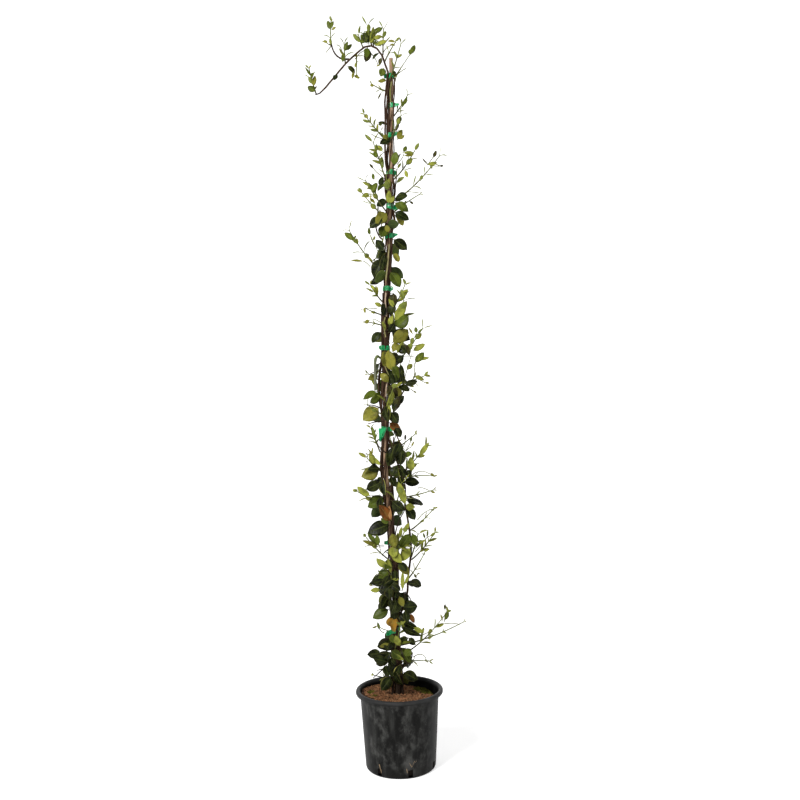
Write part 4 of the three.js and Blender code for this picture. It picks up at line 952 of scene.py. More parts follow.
def leafMaterial(name):
    look = leafLooks[name]
    settings = {"Roughness": look["roughness"], "Specular IOR Level": 0.07}
    material, tree, place = newMaterial(name, settings)
    u, v, rise = parts(tree, shaderValue(tree, "leafPlace", "Vector"))
    tint = shaderValue(tree, "leafTint", "Color")
    across = v.size()
    under = rise.step(0.05, -0.05)
    mottle = noiseOf(tree, place, look["mottle"])
    # the midrib, and side veins that leave it at a slant
    midrib = across.step(0.09, 0.03) * u.step(1.0, 0.75, 0.25, 1.0)
    wave = ((u - across * 0.16) * (2 * pi * look["veins"])).cosine()
    veins = wave.step(0.86, 1.0) * across.step(0.02, 0.12) * across.step(0.95, 0.75)
    shadow = noiseOf(tree, place, look["shadow"], detail=3, offset=(3, 1, 2)).step(0.46, 0.64)
    pale = blended(tree, 0.4, tint, look["pale"])
    colour = layered(tree, tint, [
        (mottle.step(0.35, 0.7) * 0.4, pale),
        (shadow * look["shadowShare"], look["deep"]),
        (veins * look["veinShare"], pale),
        (midrib * 0.75, pale),
        (across.step(0.72, 1.0) * shaderValue(tree, "edging"), (186, 178, 96)),
        (u.step(0.1, 0.02), look["stalk"]),
        (under * 0.5, look["under"]),
    ])
    relief = wave.step(0.5, 1.0) * -0.5 + midrib * -0.8 + mottle * 0.5
    return dressed(material, colour, relief, look["relief"], 0.6, under * 0.3 + look["roughness"])


def woodMaterial(name, oldBark, greenBark, roughness=0.75):
    material, tree, place = newMaterial(name, {"Roughness": roughness, "Specular IOR Level": 0.1})
    grain = noiseOf(tree, place, 300, (1, 1, 0.25), detail=5)
    patches = noiseOf(tree, place, 40, detail=3)
    height = parts(tree, place)[2]
    colour = layered(tree, greenBark, [
        ((shaderValue(tree, "age") + (patches - 0.5) * 0.4).least(0).most(1), oldBark),
        (grain.step(0.45, 0.75) * 0.5, (34, 24, 18)),
        # painted shade: bark is darker between about 0.1 and 0.28 m up, just above the soil
        (height.step(0.28, 0.22) * height.step(0.1, 0.14) * 0.7, (22, 16, 11)),
    ])
    return dressed(material, colour, grain, 0.0008, 0.7)


# Pot, soil and what lies on it.


def wallInside(height):
    skirt = pot["height"] - pot["rimDepth"]
    return pot["wallFoot"] - pot["wall"] + (pot["wallTop"] - pot["wallFoot"]) * height / skirt


def turnedMesh(name, section, sides):  # a closed section of radius and height, turned about the Z axis
    points, faces, rings = [], [], []
    for radius, height in section:
        start = len(points)
        if radius == 0:
            points.append((0.0, 0.0, height))
            rings.append([start] * sides)
        else:
            points += [onCircle((0, 0), radius, angle, height) for angle in angles(sides)]
            rings.append(list(range(start, start + sides)))
    for low, high in zip(rings, rings[1:]):
        for k in range(sides):
            corners = [low[k], low[(k + 1) % sides], high[(k + 1) % sides], high[k]]
            faces.append(list(dict.fromkeys(corners)))
    return meshObject(name, points, [face for face in faces if len(face) > 2])


def boxCorners(size, middle, azimuth):  # the corners of an upright box, turned about the Z axis
    c, s = cos(radians(azimuth)), sin(radians(azimuth))
    corners = []
    for sx, sy, sz in [(x, y, z) for z in (-1, 1) for y in (-1, 1) for x in (-1, 1)]:
        x, y = middle[0] + sx * size[0] / 2, middle[1] + sy * size[1] / 2
        corners.append((x * c - y * s, x * s + y * c, middle[2] + sz * size[2] / 2))
    return corners


boxFaces = [(0, 2, 3, 1), (4, 5, 7, 6), (0, 1, 5, 4), (2, 6, 7, 3), (0, 4, 6, 2), (1, 3, 7, 5)]
potMesh = {"sides": 112, "holeSides": 20, "sharp": 35}


def makePot():
    skirt = pot["height"] - pot["rimDepth"]
    top, rim, pad, foot = pot["height"], pot["rim"], pot["pad"], pot["footRing"]
    section = [
        (0, 0), (pad, 0), (pad + 4, 3), (foot - 4, 3), (foot, 0), (82, 0), (85, 0.8), (87, 2.8), (88, 5.5),
        (88.4, 8.5), (99.2, skirt - 1), (99.4, skirt), (100.2, top - 2.8), (107.6, top - 2.8),
        (107.9, skirt + 1.2), (108.4, skirt + 0.4), (109.1, skirt + 0.4), (rim - 0.3, skirt + 1.4),
        (rim, skirt + 3.4), (rim - 0.1, top - 4.4), (rim - 0.7, top - 2.7), (rim - 1.8, top - 1.2),
        (rim - 3.3, top - 0.3), (rim - 5, top), (rim - 6.8, top - 0.1), (101.4, top - 0.7),
        (100, top - 1.7), (99.1, top - 3.2), (98.5, top - 5.5), (98, top - 9), (wallInside(9), 9),
        (86, 5), (84.4, 3.2), (82, 2.4), (foot + 1, 2.4), (foot - 3, 5), (pad + 5, 5), (pad, 2), (0, 2),
    ]
    body = turnedMesh("nursery_pot", section, potMesh["sides"])
    faceOutwards(body)
    points, faces, sides = [], [], potMesh["holeSides"]
    slot = (pot["slotWidth"], pot["slotDepth"], pot["slotTop"] - pot["slotBottom"])
    slotMiddle = (0, -pot["wallFoot"], (pot["slotTop"] + pot["slotBottom"]) / 2)
    for i in range(pot["slots"]):
        corners = boxCorners(slot, slotMiddle, pot["slotOffset"] + i * 360 / pot["slots"])
        addShape(points, faces, corners, boxFaces)
    for turn in angles(pot["holes"]):
        middle = (pot["holeRing"] * sin(turn), -pot["holeRing"] * cos(turn))
        rod = []
        for height in (-9, 9):
            rod += [onCircle(middle, pot["holeRadius"], angle, height) for angle in angles(sides)]
        addShape(points, faces, rod, closedTubeFaces(2, sides))
    cutters = meshObject("cutters", points, faces)
    cut = body.modifiers.new("Cut", "BOOLEAN")
    cut.operation, cut.solver, cut.object = "DIFFERENCE", "EXACT", cutters
    mesh = bakedMesh(body)
    body.modifiers.clear()
    body.data = mesh
    bpy.data.objects.remove(cutters)
    smoothUnder(body, potMesh["sharp"])
    return finishPiece(body, potMaterial(), ["pot"])


soilMesh = {"sides": 96, "rings": 30, "foot": 5.3, "corner": 10, "shoulder": 156, "drop": 1.5, "sharp": 60}
soilColours = [(15, 10, 7), (82, 54, 33)]


def soilTop(x, y):
    clods = 1.6 * sin(x * 0.09 + 1) * cos(y * 0.11) + 0.9 * sin(x * 0.23 + y * 0.19)
    return pot["soil"] - 0.105 * x - 0.06 * y + clods


def soilSurface(x, y):
    rough = noise.noise(Vector((x * 0.11, y * 0.11, 3.0))) * 2.2
    rough += noise.noise(Vector((x * 0.35, y * 0.35, 8.0))) * 1.2
    return soilTop(x, y) + rough


def makeSoil():
    sides, ringCount, foot = soilMesh["sides"], soilMesh["rings"], soilMesh["foot"]
    corner, shoulder = soilMesh["corner"], soilMesh["shoulder"]
    edge = wallInside(pot["soil"]) - 0.2
    points = [(0.0, 0.0, foot)]
    walls = [(81.5, foot), (wallInside(corner) - 0.3, corner), (wallInside(shoulder) - 0.2, shoulder)]
    for radius, height in walls:
        points += [onCircle((0, 0), radius, angle, height) for angle in angles(sides)]
    for i in range(ringCount):
        for angle in angles(sides):
            x, y, _ = onCircle((0, 0), edge * (ringCount - i) / ringCount, angle, 0)
            points.append((x, y, soilSurface(x, y) - (soilMesh["drop"] if i == 0 else 0)))
    points.append((0.0, 0.0, soilSurface(0, 0)))
    faces = tubeFaces(ringCount + 3, sides, 1)
    middle = len(points) - 1
    for k in range(sides):
        following = (k + 1) % sides
        faces += [[0, 1 + following, 1 + k], [middle - sides + k, middle - sides + following, middle]]
    soil = meshObject("coir_soil", points, faces)
    smoothUnder(soil, soilMesh["sharp"])
    # painted shade: below the shoulder, the soil seen through the slots is painted near its dark colour
    setValues(soil, "tint", [0.25 if place[2] > shoulder + 2 else -0.6 for place in points])
    return finishPiece(soil, coirMaterial("CoirSoil", *soilColours), ["soil"])


def soilPatch(weight):  # the soil's top as a grid of quads, with a weight for what grows there
    step, reach = 4, 92
    places = range(-reach, reach, step)
    points, faces = [], []
    for x, y in [(x, y) for x in places for y in places]:
        if hypot(x + step / 2, y + step / 2) > reach - step:
            continue
        start = len(points)
        for cx, cy in ((x, y), (x + step, y), (x + step, y + step), (x, y + step)):
            points.append((cx, cy, soilSurface(cx, cy)))
        faces.append([start, start + 1, start + 2, start + 3])
    patch = meshObject("patch", points, faces)
    setValues(patch, "weight", [weight(place[0], place[1]) for place in points])
    return patch


def scatterTree():  # scatters copies of one small shape over a surface, turned and sized at random
    tree, given = geometryTree("Scatter", {
        "Density": "Float", "Seed": "Int", "Shape": "Object", "Least Size": "Vector",
        "Most Size": "Vector", "Tilt": "Float", "Lift": "Float", "Material": "Material",
    })

    def randomVector(low, high, drawSeed):
        inputs = {0: low, 1: high, "Seed": drawSeed}
        return valueOf(tree, "FunctionNodeRandomValue", inputs, data_type="FLOAT_VECTOR")

    def vector(**axes):
        return valueOf(tree, "ShaderNodeCombineXYZ", axes)

    density = given["Density"] * named(tree, "weight")
    spread = {"Mesh": given["Geometry"], "Density": density, "Seed": given["Seed"]}
    spots = valueOf(tree, "GeometryNodeDistributePointsOnFaces", spread, "Points")
    shape = valueOf(tree, "GeometryNodeObjectInfo", {"Object": given["Shape"]}, "Geometry")
    tilt = given["Tilt"]
    low, high = vector(X=tilt * -1, Y=tilt * -1, Z=0.0), vector(X=tilt, Y=tilt, Z=2 * pi)
    copying = {
        "Points": spots, "Instance": shape, "Rotation": randomVector(low, high, given["Seed"]),
        "Scale": randomVector(given["Least Size"], given["Most Size"], given["Seed"] + 5),
    }
    copies = valueOf(tree, "GeometryNodeInstanceOnPoints", copying)
    tint = valueOf(tree, "FunctionNodeRandomValue", {2: 0.0, 3: 1.0, "Seed": given["Seed"] + 9}, 1)
    tinted = valueOf(tree, "GeometryNodeStoreNamedAttribute",
                     {"Geometry": copies, "Name": "tint", "Value": tint}, domain="INSTANCE")
    lifting = {"Instances": tinted, "Translation": vector(Z=given["Lift"]), "Local Space": False}
    return closeTree(tree, valueOf(tree, "GeometryNodeTranslateInstances", lifting), given["Material"])


def chipShape(sides=6):  # a crooked flat chip, one unit across
    points = []
    for level, spread in ((-0.5, 0.8), (0.5, 1.0)):
        for k, angle in enumerate(angles(sides)):
            reach = spread * (0.42 + 0.12 * sin(k * 2.4 + level))
            points.append(onCircle((0, 0), 1000 * reach, angle, 1000 * level))
    return meshObject("chip", points, closedTubeFaces(2, sides))


def fibreShape():  # a bent strand, one unit long, three-sided
    points, steps = [], 6
    for i in range(steps + 1):
        t = i / steps - 0.5
        middle = (1000 * t, 180 * cos(pi * t * 1.6), 160 * cos(pi * t) - 60)
        points += [plus(middle, (0.0, 30 * cos(angle), 30 * sin(angle))) for angle in angles(3)]
    fibre = meshObject("fibre", points, closedTubeFaces(steps + 1, 3))
    faceOutwards(fibre)
    return fibre


def tuftShape():  # a low lump of moss with eight points
    points, faces = [(0.0, 0.0, 700.0)], []
    for k, angle in enumerate(angles(8)):
        points.append(onCircle((0, 0), 500 if k % 2 else 320, angle, 330 if k % 2 else 120))
    points.append((0.0, 0.0, -300.0))
    for k in range(8):
        a, b = 1 + k, 1 + (k + 1) % 8
        faces += [[0, a, b], [9, b, a]]
    return meshObject("tuft", points, faces)


def everywhere(x, y):
    return 1.0


def mossWeight(x, y):
    spots = ((70, 44, 26), (-72, -10, 8), (50, 66, 14), (-60, -44, 5))
    near = max(1 - hypot(x - sx, y - sy) / size for sx, sy, size in spots)
    return max(0.0, min(1.0, near * 2.5 + noise.noise(Vector((x * 0.08, y * 0.08, 1.0)))))


covers = {  # what lies on the soil: shape, where, colours and slot, then the values for the tree
    "coir_chips": (chipShape, everywhere, "CoirChips", [(28, 17, 10), (154, 108, 75)], "coir", {
        "Density": 62000.0, "Seed": 3, "Least Size": (0.003, 0.002, 0.0012),
        "Most Size": (0.012, 0.008, 0.004), "Tilt": 0.9, "Lift": 0.0006}),
    "coir_fibres": (fibreShape, everywhere, "CoirFibres", [(78, 52, 34), (190, 150, 110)], "coir", {
        "Density": 16000.0, "Seed": 8, "Least Size": (0.006, 0.006, 0.006),
        "Most Size": (0.017, 0.011, 0.01), "Tilt": 0.5, "Lift": 0.0022}),
    "moss_tufts": (tuftShape, mossWeight, "Moss", [(20, 25, 8), (94, 92, 32)], "mature_leaf", {
        "Density": 240000.0, "Seed": 12, "Least Size": (0.003, 0.003, 0.003),
        "Most Size": (0.0075, 0.0075, 0.0075), "Tilt": 0.3, "Lift": 0.0025}),
}


def makeSoilCover():
    tree = scatterTree()
    for name, (shapeOf, weight, materialName, colours, slot, values) in covers.items():
        shape, material = shapeOf(), coirMaterial(materialName, *colours)
        piece = grown(name, soilPatch(weight), tree, {**values, "Shape": shape, "Material": material})
        bpy.data.objects.remove(shape)
        finishPiece(piece, material)


# pale roots in the slots and scratched burrs over one: points on the wall as x and height, and radii
slotRoots = [
    ([(-52, 33), (-50, 24), (-47, 12)], 1.7, 1.0), ([(14, 27), (15, 17), (16, 9)], 1.3, 0.8),
    ([(20, 41), (23, 36), (26, 29)], 0.35, 0.25), ([(34, 44), (31, 38), (27, 30)], 0.35, 0.25),
    ([(24, 37), (26, 30)], 0.5, 0.3), ([(39, 43), (35, 39)], 0.25, 0.2),
]


def wallOutside(height):
    return 88.4 + 10.8 * max(0.0, height - 8.5) / 175.5


def makeSlotRoots(tree):
    lines = []
    for spots, foot, tip in slotRoots:
        sunk = 0.9 if foot > 1 else -0.1  # roots lie in the wall, burrs on it
        points = []
        for x, height in spots:
            reach = wallOutside(height) - sunk
            points.append((x, -sqrt(reach * reach - x * x), height))
        lines.append(softLine(points, foot, tip, 1.0))
    tubesFrom("slot_roots", lines, tree, tubeSides["root"], barkOf("RootBark"))


makePot()
makeSoil()
makeSoilCover()
print("stage: pot and soil")


# Cane and ties.

caneMesh = {"sides": 28, "step": 12, "sharp": 50}
# the darkness down the hollow top is painted shade
caneBore = [(2.4, 0.2, 0.0), (2.2, 12, 1.0)]  # radius, depth under the top and how dark
caneNode = [  # the swelling at a joint: place along the cane, how much thicker and how dark
    (-5, 0.02, 0), (-2.2, 0.1, 0.1), (-0.9, 0.5, 0.5), (-0.1, 0.55, 0.35), (0.3, 0.05, 1), (0.8, 0.1, 0.9),
    (1.6, 0.42, 0.35), (3.2, 0.3, 0.05), (5.5, 0.05, 0),
]


def makeCane():
    sides, step, top = caneMesh["sides"], caneMesh["step"], cane["top"]
    joints = [cane["firstJoint"] - cane["jointStep"], *caneJoints]
    heights = [cane["foot"] + step * i for i in range(int((top - cane["foot"]) / step))] + [top]
    heights = [height for height in heights if all(abs(height - joint) > 6 for joint in joints)]
    rows = [(height, caneRadiusAt(height), 0.0) for height in heights]
    for joint in joints:
        rows += [(joint + off, caneRadiusAt(joint) + swell, dark) for off, swell, dark in caneNode]
    rows.sort()
    points, rings = [], []
    for height, radius, dark in rows:
        x, y, _ = caneAt(height)
        x += 0.25 * sin(height * 0.031)
        for angle in angles(sides):
            oval = radius * (1 + 0.02 * sin(2 * angle + height * 0.01))
            points.append(onCircle((x, y), oval, angle, height))
            rings.append(dark)
    x, y, _ = caneAt(top)
    for radius, depth, dark in caneBore:
        points += [onCircle((x + 0.2, y), radius, angle, top - depth) for angle in angles(sides)]
        rings += [dark] * sides
    piece = meshObject("bamboo_cane", points, closedTubeFaces(len(points) // sides, sides))
    smoothUnder(piece, caneMesh["sharp"])
    setValues(piece, "ring", rings)
    return finishPiece(piece, bambooMaterial(), ["cane"])


bandMesh = {
    "loop": 64, "thickness": 0.42, "tabGap": 0.35, "tabShares": [1, 0.85, 0.7, 0.55, 0.4, 0.25, 0.1],
    "rows": [-1, -0.75, -0.45, -0.15, 0.15, 0.45, 0.75, 1], "sharp": 60,
}
tailMesh = {"rows": 20, "columns": 26, "skin": 0.25, "rise": 2}


def stripPoints(path, levels, shift, thickness):  # a level ribbon along a path, crumpled by shift
    points, sideways = [], []
    for i in range(len(path)):
        ahead, behind = path[min(i + 1, len(path) - 1)], path[max(i - 1, 0)]
        run = (ahead[0] - behind[0], ahead[1] - behind[1])
        length = hypot(*run) or 1.0
        sideways.append((run[1] / length, -run[0] / length))
    for side in (1, -1):
        for i, (x, y) in enumerate(path):
            for j, level in enumerate(levels):
                off = side * thickness / 2 + shift(i, j)
                points.append((x + sideways[i][0] * off, y + sideways[i][1] * off, level(i)))
    return points


def bandOf(number, tie):  # a crumpled band round cane and stems, with both ends pressed to a tab
    height, _, tab, reach, tilt, end, _ = tie
    axis, direction = caneAt(height), outward(tab)
    loop = tieOutline(height, tab, tape["slack"] + tape["thickness"] / 2, bandMesh["loop"])
    beside = (-direction[1], direction[0])
    root = ((loop[0][0] + loop[-1][0]) / 2, (loop[0][1] + loop[-1][1]) / 2)
    shares, gap = bandMesh["tabShares"], bandMesh["tabGap"]

    def tabSide(side):
        return [(root[0] + direction[0] * reach * s + beside[0] * gap * side,
                 root[1] + direction[1] * reach * s + beside[1] * gap * side) for s in shares]

    path = tabSide(1) + loop + tabSide(-1)[::-1]
    spots = shares + [0] * len(loop) + shares[::-1]
    waves = [sin(i * 0.61 + number * 1.9) + 0.6 * sin(i * 0.23 + number) for i in range(len(path))]
    widths = [tape["width"] / 2 * (1 + (end - 1) * s) * (1 + 0.1 * w) for s, w in zip(spots, waves)]

    def level(share):
        return lambda i: share * widths[i] + 0.5 * waves[(i * 3) % len(waves)] * (1 - abs(share) * 0.6)

    def shift(i, j):
        coarse, fine = sin(i * 0.37 + j * 0.8 + number * 2.3), sin(i * 0.9 + j * 1.7 + number)
        return 0.32 * fine + 0.22 * coarse

    band = stripPoints(path, [level(share) for share in bandMesh["rows"]], shift, bandMesh["thickness"])
    rise = tan(radians(tilt))
    band = [(axis[0] + x, axis[1] + y, axis[2] + z + x * rise) for x, y, z in band]
    return band, sheetFaces(len(path), len(bandMesh["rows"]))


def tailOf(tie):  # the loose end of a band, which hangs down and tapers to the left
    height, _, tab, _, _, _, tail = tie
    axis = caneAt(height)
    spot = tieOutline(height, tab, tape["slack"] + tape["thickness"], tape["steps"])[tape["tailPlace"]]
    facing = unit((spot[0], spot[1], 0.0))
    side = (-facing[1], facing[0], 0.0)
    lean, width = tan(radians(tape["tailLean"])), tape["tailWidth"]
    rows, columns = tailMesh["rows"], tailMesh["columns"]
    points = []
    for skin in (tailMesh["skin"], -tailMesh["skin"]):
        for t, w in [(i / rows, j / columns) for i in range(rows + 1) for j in range(columns + 1)]:
            drop = tail * t * (1 - 0.3 * w ** 2 - 0.06 * sin(w * 11))
            across = -width / 2 + width * (w + 0.28 * t * (0.5 - w)) * (1 - 0.42 * t ** 1.4)
            pleat = 0.9 * sin(w * 15 + t * 3) + 0.5 * sin(w * 31 - t * 5)
            out = skin + 0.9 + drop * lean + pleat * (0.35 + 0.65 * t) + 0.4 * sin(t * 11 + w * 5)
            place = (axis[0] + spot[0], axis[1] + spot[1], height + tailMesh["rise"] - drop)
            points.append(plus(plus(place, facing, out), side, across))
    return points, sheetFaces(rows + 1, columns + 1)


def makeTies():
    points, faces = [], []
    for number, tie in enumerate(ties):
        addShape(points, faces, *bandOf(number, tie))
        if tie[6]:
            addShape(points, faces, *tailOf(tie))
    piece = meshObject("tie_tapes", points, faces)
    faceOutwards(piece, merge=False)
    smoothUnder(piece, bandMesh["sharp"])
    return finishPiece(piece, tapeMaterial(), [f"tie_{i + 1:02d}" for i in range(len(ties))])


staple = {"tie": 6, "size": (7.5, 0.7, 1.0), "off": 0.25, "tilt": 0.12, "colour": (214, 216, 214)}


def makeStaple():  # the staple that shows on the seventh tie
    height, _, tab, _, _, _, _ = ties[staple["tie"]]
    axis = caneAt(height)
    loop = tieOutline(height, tab, tape["slack"] + tape["thickness"] + staple["off"], 56)
    spot = min(loop, key=lambda place: place[1] + abs(place[0] - 2) * 0.3)
    points = []
    for x, y, z in boxCorners(staple["size"], (0, 0, 0), 0):
        points.append((axis[0] + spot[0] + x, axis[1] + spot[1] + y, height + 1 + z + x * staple["tilt"]))
    piece = meshObject("staple", points, boxFaces)
    faceOutwards(piece)
    material, _, _ = newMaterial("StapleWire", {"Roughness": 0.35, "Base Color": linear(*staple["colour"])})
    return finishPiece(piece, material)


makeCane()
makeTies()
makeStaple()
print("stage: cane and ties")


# Stems and threads.


def tubeTree():  # tubes round lines, with each point's own radius
    tree, given = geometryTree("Tubes", {"Sides": "Int", "Material": "Material"})
    curve = valueOf(tree, "GeometryNodeMeshToCurve", {"Mesh": given["Geometry"]})
    circle = valueOf(tree, "GeometryNodeCurvePrimitiveCircle", {"Resolution": given["Sides"], "Radius": 1.0})
    inputs = {"Curve": curve, "Profile Curve": circle, "Scale": named(tree, "reach"), "Fill Caps": True}
    tube = valueOf(tree, "GeometryNodeCurveToMesh", inputs)
    return closeTree(tree, valueOf(tree, "GeometryNodeSetShadeSmooth", {"Geometry": tube}), given["Material"])


def tubesFrom(name, lines, tree, sides, material, nodes=()):  # each line: points, radii and ages
    points, edges, reaches, ages = [], [], [], []
    for line in lines:
        start = len(points)
        points += line[0]
        reaches += [radius * mm for radius in line[1]]
        ages += line[2]
        edges += [(start + i, start + i + 1) for i in range(len(line[0]) - 1)]
    source = meshObject(name, points, [], edges)
    setValues(source, "reach", reaches)
    setValues(source, "age", ages)
    piece = grown(name, source, tree, {"Sides": sides, "Material": material})
    faceOutwards(piece)
    return finishPiece(piece, material, nodes)


def smoothLine(line, step, knots, swell, ageOf):  # resampled, with a swelling at each knot
    count = max(4, ceil(line["total"] / step))
    points, radii, ages = [], [], []
    for i in range(count + 1):
        length = line["total"] * i / count
        near = min((abs(length - knot) for knot in knots), default=99)
        points.append(pointAlong(line, length))
        radii.append(radiusAlong(line, length) * (1 + swell * max(0.0, 1 - near / 5)))
        ages.append(ageOf(length / line["total"]))
    return points, radii, ages


def lengthNear(line, place):  # how far along a line its point nearest to a place is
    i = min(range(len(line["points"])), key=lambda k: apart(line["points"][k], place))
    return line["lengths"][i]


barks = {  # old and green colour, then roughness
    "StemBark": ((56, 39, 28), (64, 47, 33)), "ShootBark": ((48, 35, 25), (98, 106, 48), 0.6),
    "CutStemBark": ((98, 100, 84), (104, 116, 66), 0.8), "ThreadBark": ((96, 86, 46), (98, 104, 50), 0.6),
    # the live stems' pale beige old colour is a painted highlight on the cane
    "LiveStemAndHighlight": ((176, 154, 132), (112, 114, 54), 0.6), "DryTwig": ((38, 29, 21), (60, 46, 34), 0.85),
    "RootBark": ((138, 118, 92), (150, 130, 104), 0.85),
}


tubeSides = {"stem": 10, "shoot": 7, "cut": 14, "strand": 8, "thread": 6, "liveAndHighlight": 8, "twig": 7, "root": 6}
stemLook = {"step": 3, "knot": 0.22, "archRadius": 1.3, "archTaper": 0.09, "archMost": 2.4}
shootLook = {"step": 4, "knot": 0.3, "woody": 0.55, "woodyGain": 1.85, "greenGain": 1.45, "rooted": 0.3}
cutSteps = 30


def barkOf(name):
    return woodMaterial(name, *barks[name])


def makeStems():
    tree, wood = tubeTree(), barkOf("StemBark")
    lines = []
    for stem in stems:
        own = [leaf for leaf in grownLeaves if leaf["owner"] == stem["name"]]
        knots = [lengthNear(stem["line"], leaf["centre"]) for leaf in own]
        points, radii, ages = smoothLine(
            stem["line"], stemLook["step"], knots, stemLook["knot"], lambda t: 1 - 0.6 * t)
        if stem.get("arched"):  # stays thick nearly to its tip
            for i, left in enumerate(range(len(radii), 0, -1)):
                least = min(stemLook["archMost"], stemLook["archRadius"] + stemLook["archTaper"] * left)
                radii[i] = max(radii[i], least)
        lines.append((points, radii, ages))
    tubesFrom("woody_stems", lines, tree, tubeSides["stem"], wood, stemNames)
    lines = []
    for shoot in shoots:
        knots = [shoot["line"]["total"] * leaf["place"] for leaf in shoot["leaves"]]
        old = shootLook["woody"] if shoot["bow"] else 0
        points, radii, ages = smoothLine(
            shoot["line"], shootLook["step"], knots, shootLook["knot"],
            lambda t: 1.0 if t < old else 0.8 - 1.1 * t)
        gains = [shootLook["woodyGain" if age == 1.0 else "greenGain"] for age in ages]
        radii = [radius * gain for radius, gain in zip(radii, gains)]
        if shoot["own"]:  # starts inside its stem
            points = [mixed(shoot["centre"], points[0], shootLook["rooted"])] + points
            radii = [radii[0]] + radii
            ages = [ages[0]] + ages
        lines.append((points, radii, ages))
    bark = barkOf("ShootBark")
    tubesFrom("shoot_stems", lines, tree, tubeSides["shoot"], bark, ownShoots + stemNames)
    line = lineOf(stub["points"], stub["radii"])
    cut = smoothLine(line, line["total"] / cutSteps, [], 0, lambda t: min(1.0, 4 * t - 0.4))
    tubesFrom("cut_side_stem", [cut], tree, tubeSides["cut"], barkOf("CutStemBark"), ["cut_stub"])
    makeStrands(tree, wood)
    makeThreads(tree)
    makeSlotRoots(tree)


strandRule = {"foot": 150, "steps": 220, "radius": 2.4, "taper": 1.1, "off": 0.4}
strands = [  # phase against the turning of the stems, top, bulge between the ties
    (30, 1752, 3.2), (150, 1744, 4.0), (-90, 1560, 2.6), (60, 1240, 5.5), (-65, 1736, 1.8), (-110, 1722, 2.8),
]


def makeStrands(tree, wood):  # thin old stems that fill the bundle between the main ones
    lines, bottom, count = [], strandRule["foot"], strandRule["steps"]
    for number, (phase, top, bulge) in enumerate(strands):
        points, radii = [], []
        for i in range(count + 1):
            height = bottom + (top - bottom) * i / count
            below = max((tie[0] for tie in ties if tie[0] <= height), default=bottom)
            above = min((tie[0] for tie in ties if tie[0] > height), default=top + 20)
            share = (height - below) / (above - below)
            radius = strandRule["radius"] - strandRule["taper"] * i / count
            lift = bulge * sin(pi * share) * (0.7 + 0.5 * sin(height * 0.011 + number))
            azimuth = phase + eased(ties, height, 1) + 9 * sin(height * 0.017 + number * 2)
            reach = caneRadiusAt(height) + radius + strandRule["off"] + lift
            points.append(plus(caneAt(height), outward(azimuth), reach))
            radii.append(radius * (1 + 0.12 * sin(height * 0.19 + number)))
        lines.append((points, radii, [1 - 0.4 * i / count for i in range(count + 1)]))
    lines += [softLine(atDepth(*spots), foot, tip, 0.9) for spots, foot, tip in sideStems]
    tubesFrom("winding_strands", lines, tree, tubeSides["strand"], wood)


def atDepth(depth, spots):
    return [(x, depth, z) for x, z in spots]


def softLine(points, foot, tip, age):  # a smooth line through a few points, thick at its foot
    before = plus(points[0], minus(points[0], points[1]))
    after = plus(points[-1], minus(points[-1], points[-2]))
    ends = [before, *points, after]
    line, steps = [], 7
    for near in zip(ends, ends[1:], ends[2:], ends[3:]):
        for t in [k / steps for k in range(steps)]:
            weights = (-t + 2 * t * t - t ** 3, 2 - 5 * t * t + 3 * t ** 3, t + 4 * t * t - 3 * t ** 3,
                       t ** 3 - t * t)
            line.append(tuple(sum(w * p[axis] for w, p in zip(weights, near)) / 2 for axis in range(3)))
    line.append(points[-1])
    count = len(line) - 1
    return line, [foot + (tip - foot) * i / count for i in range(count + 1)], [age] * (count + 1)


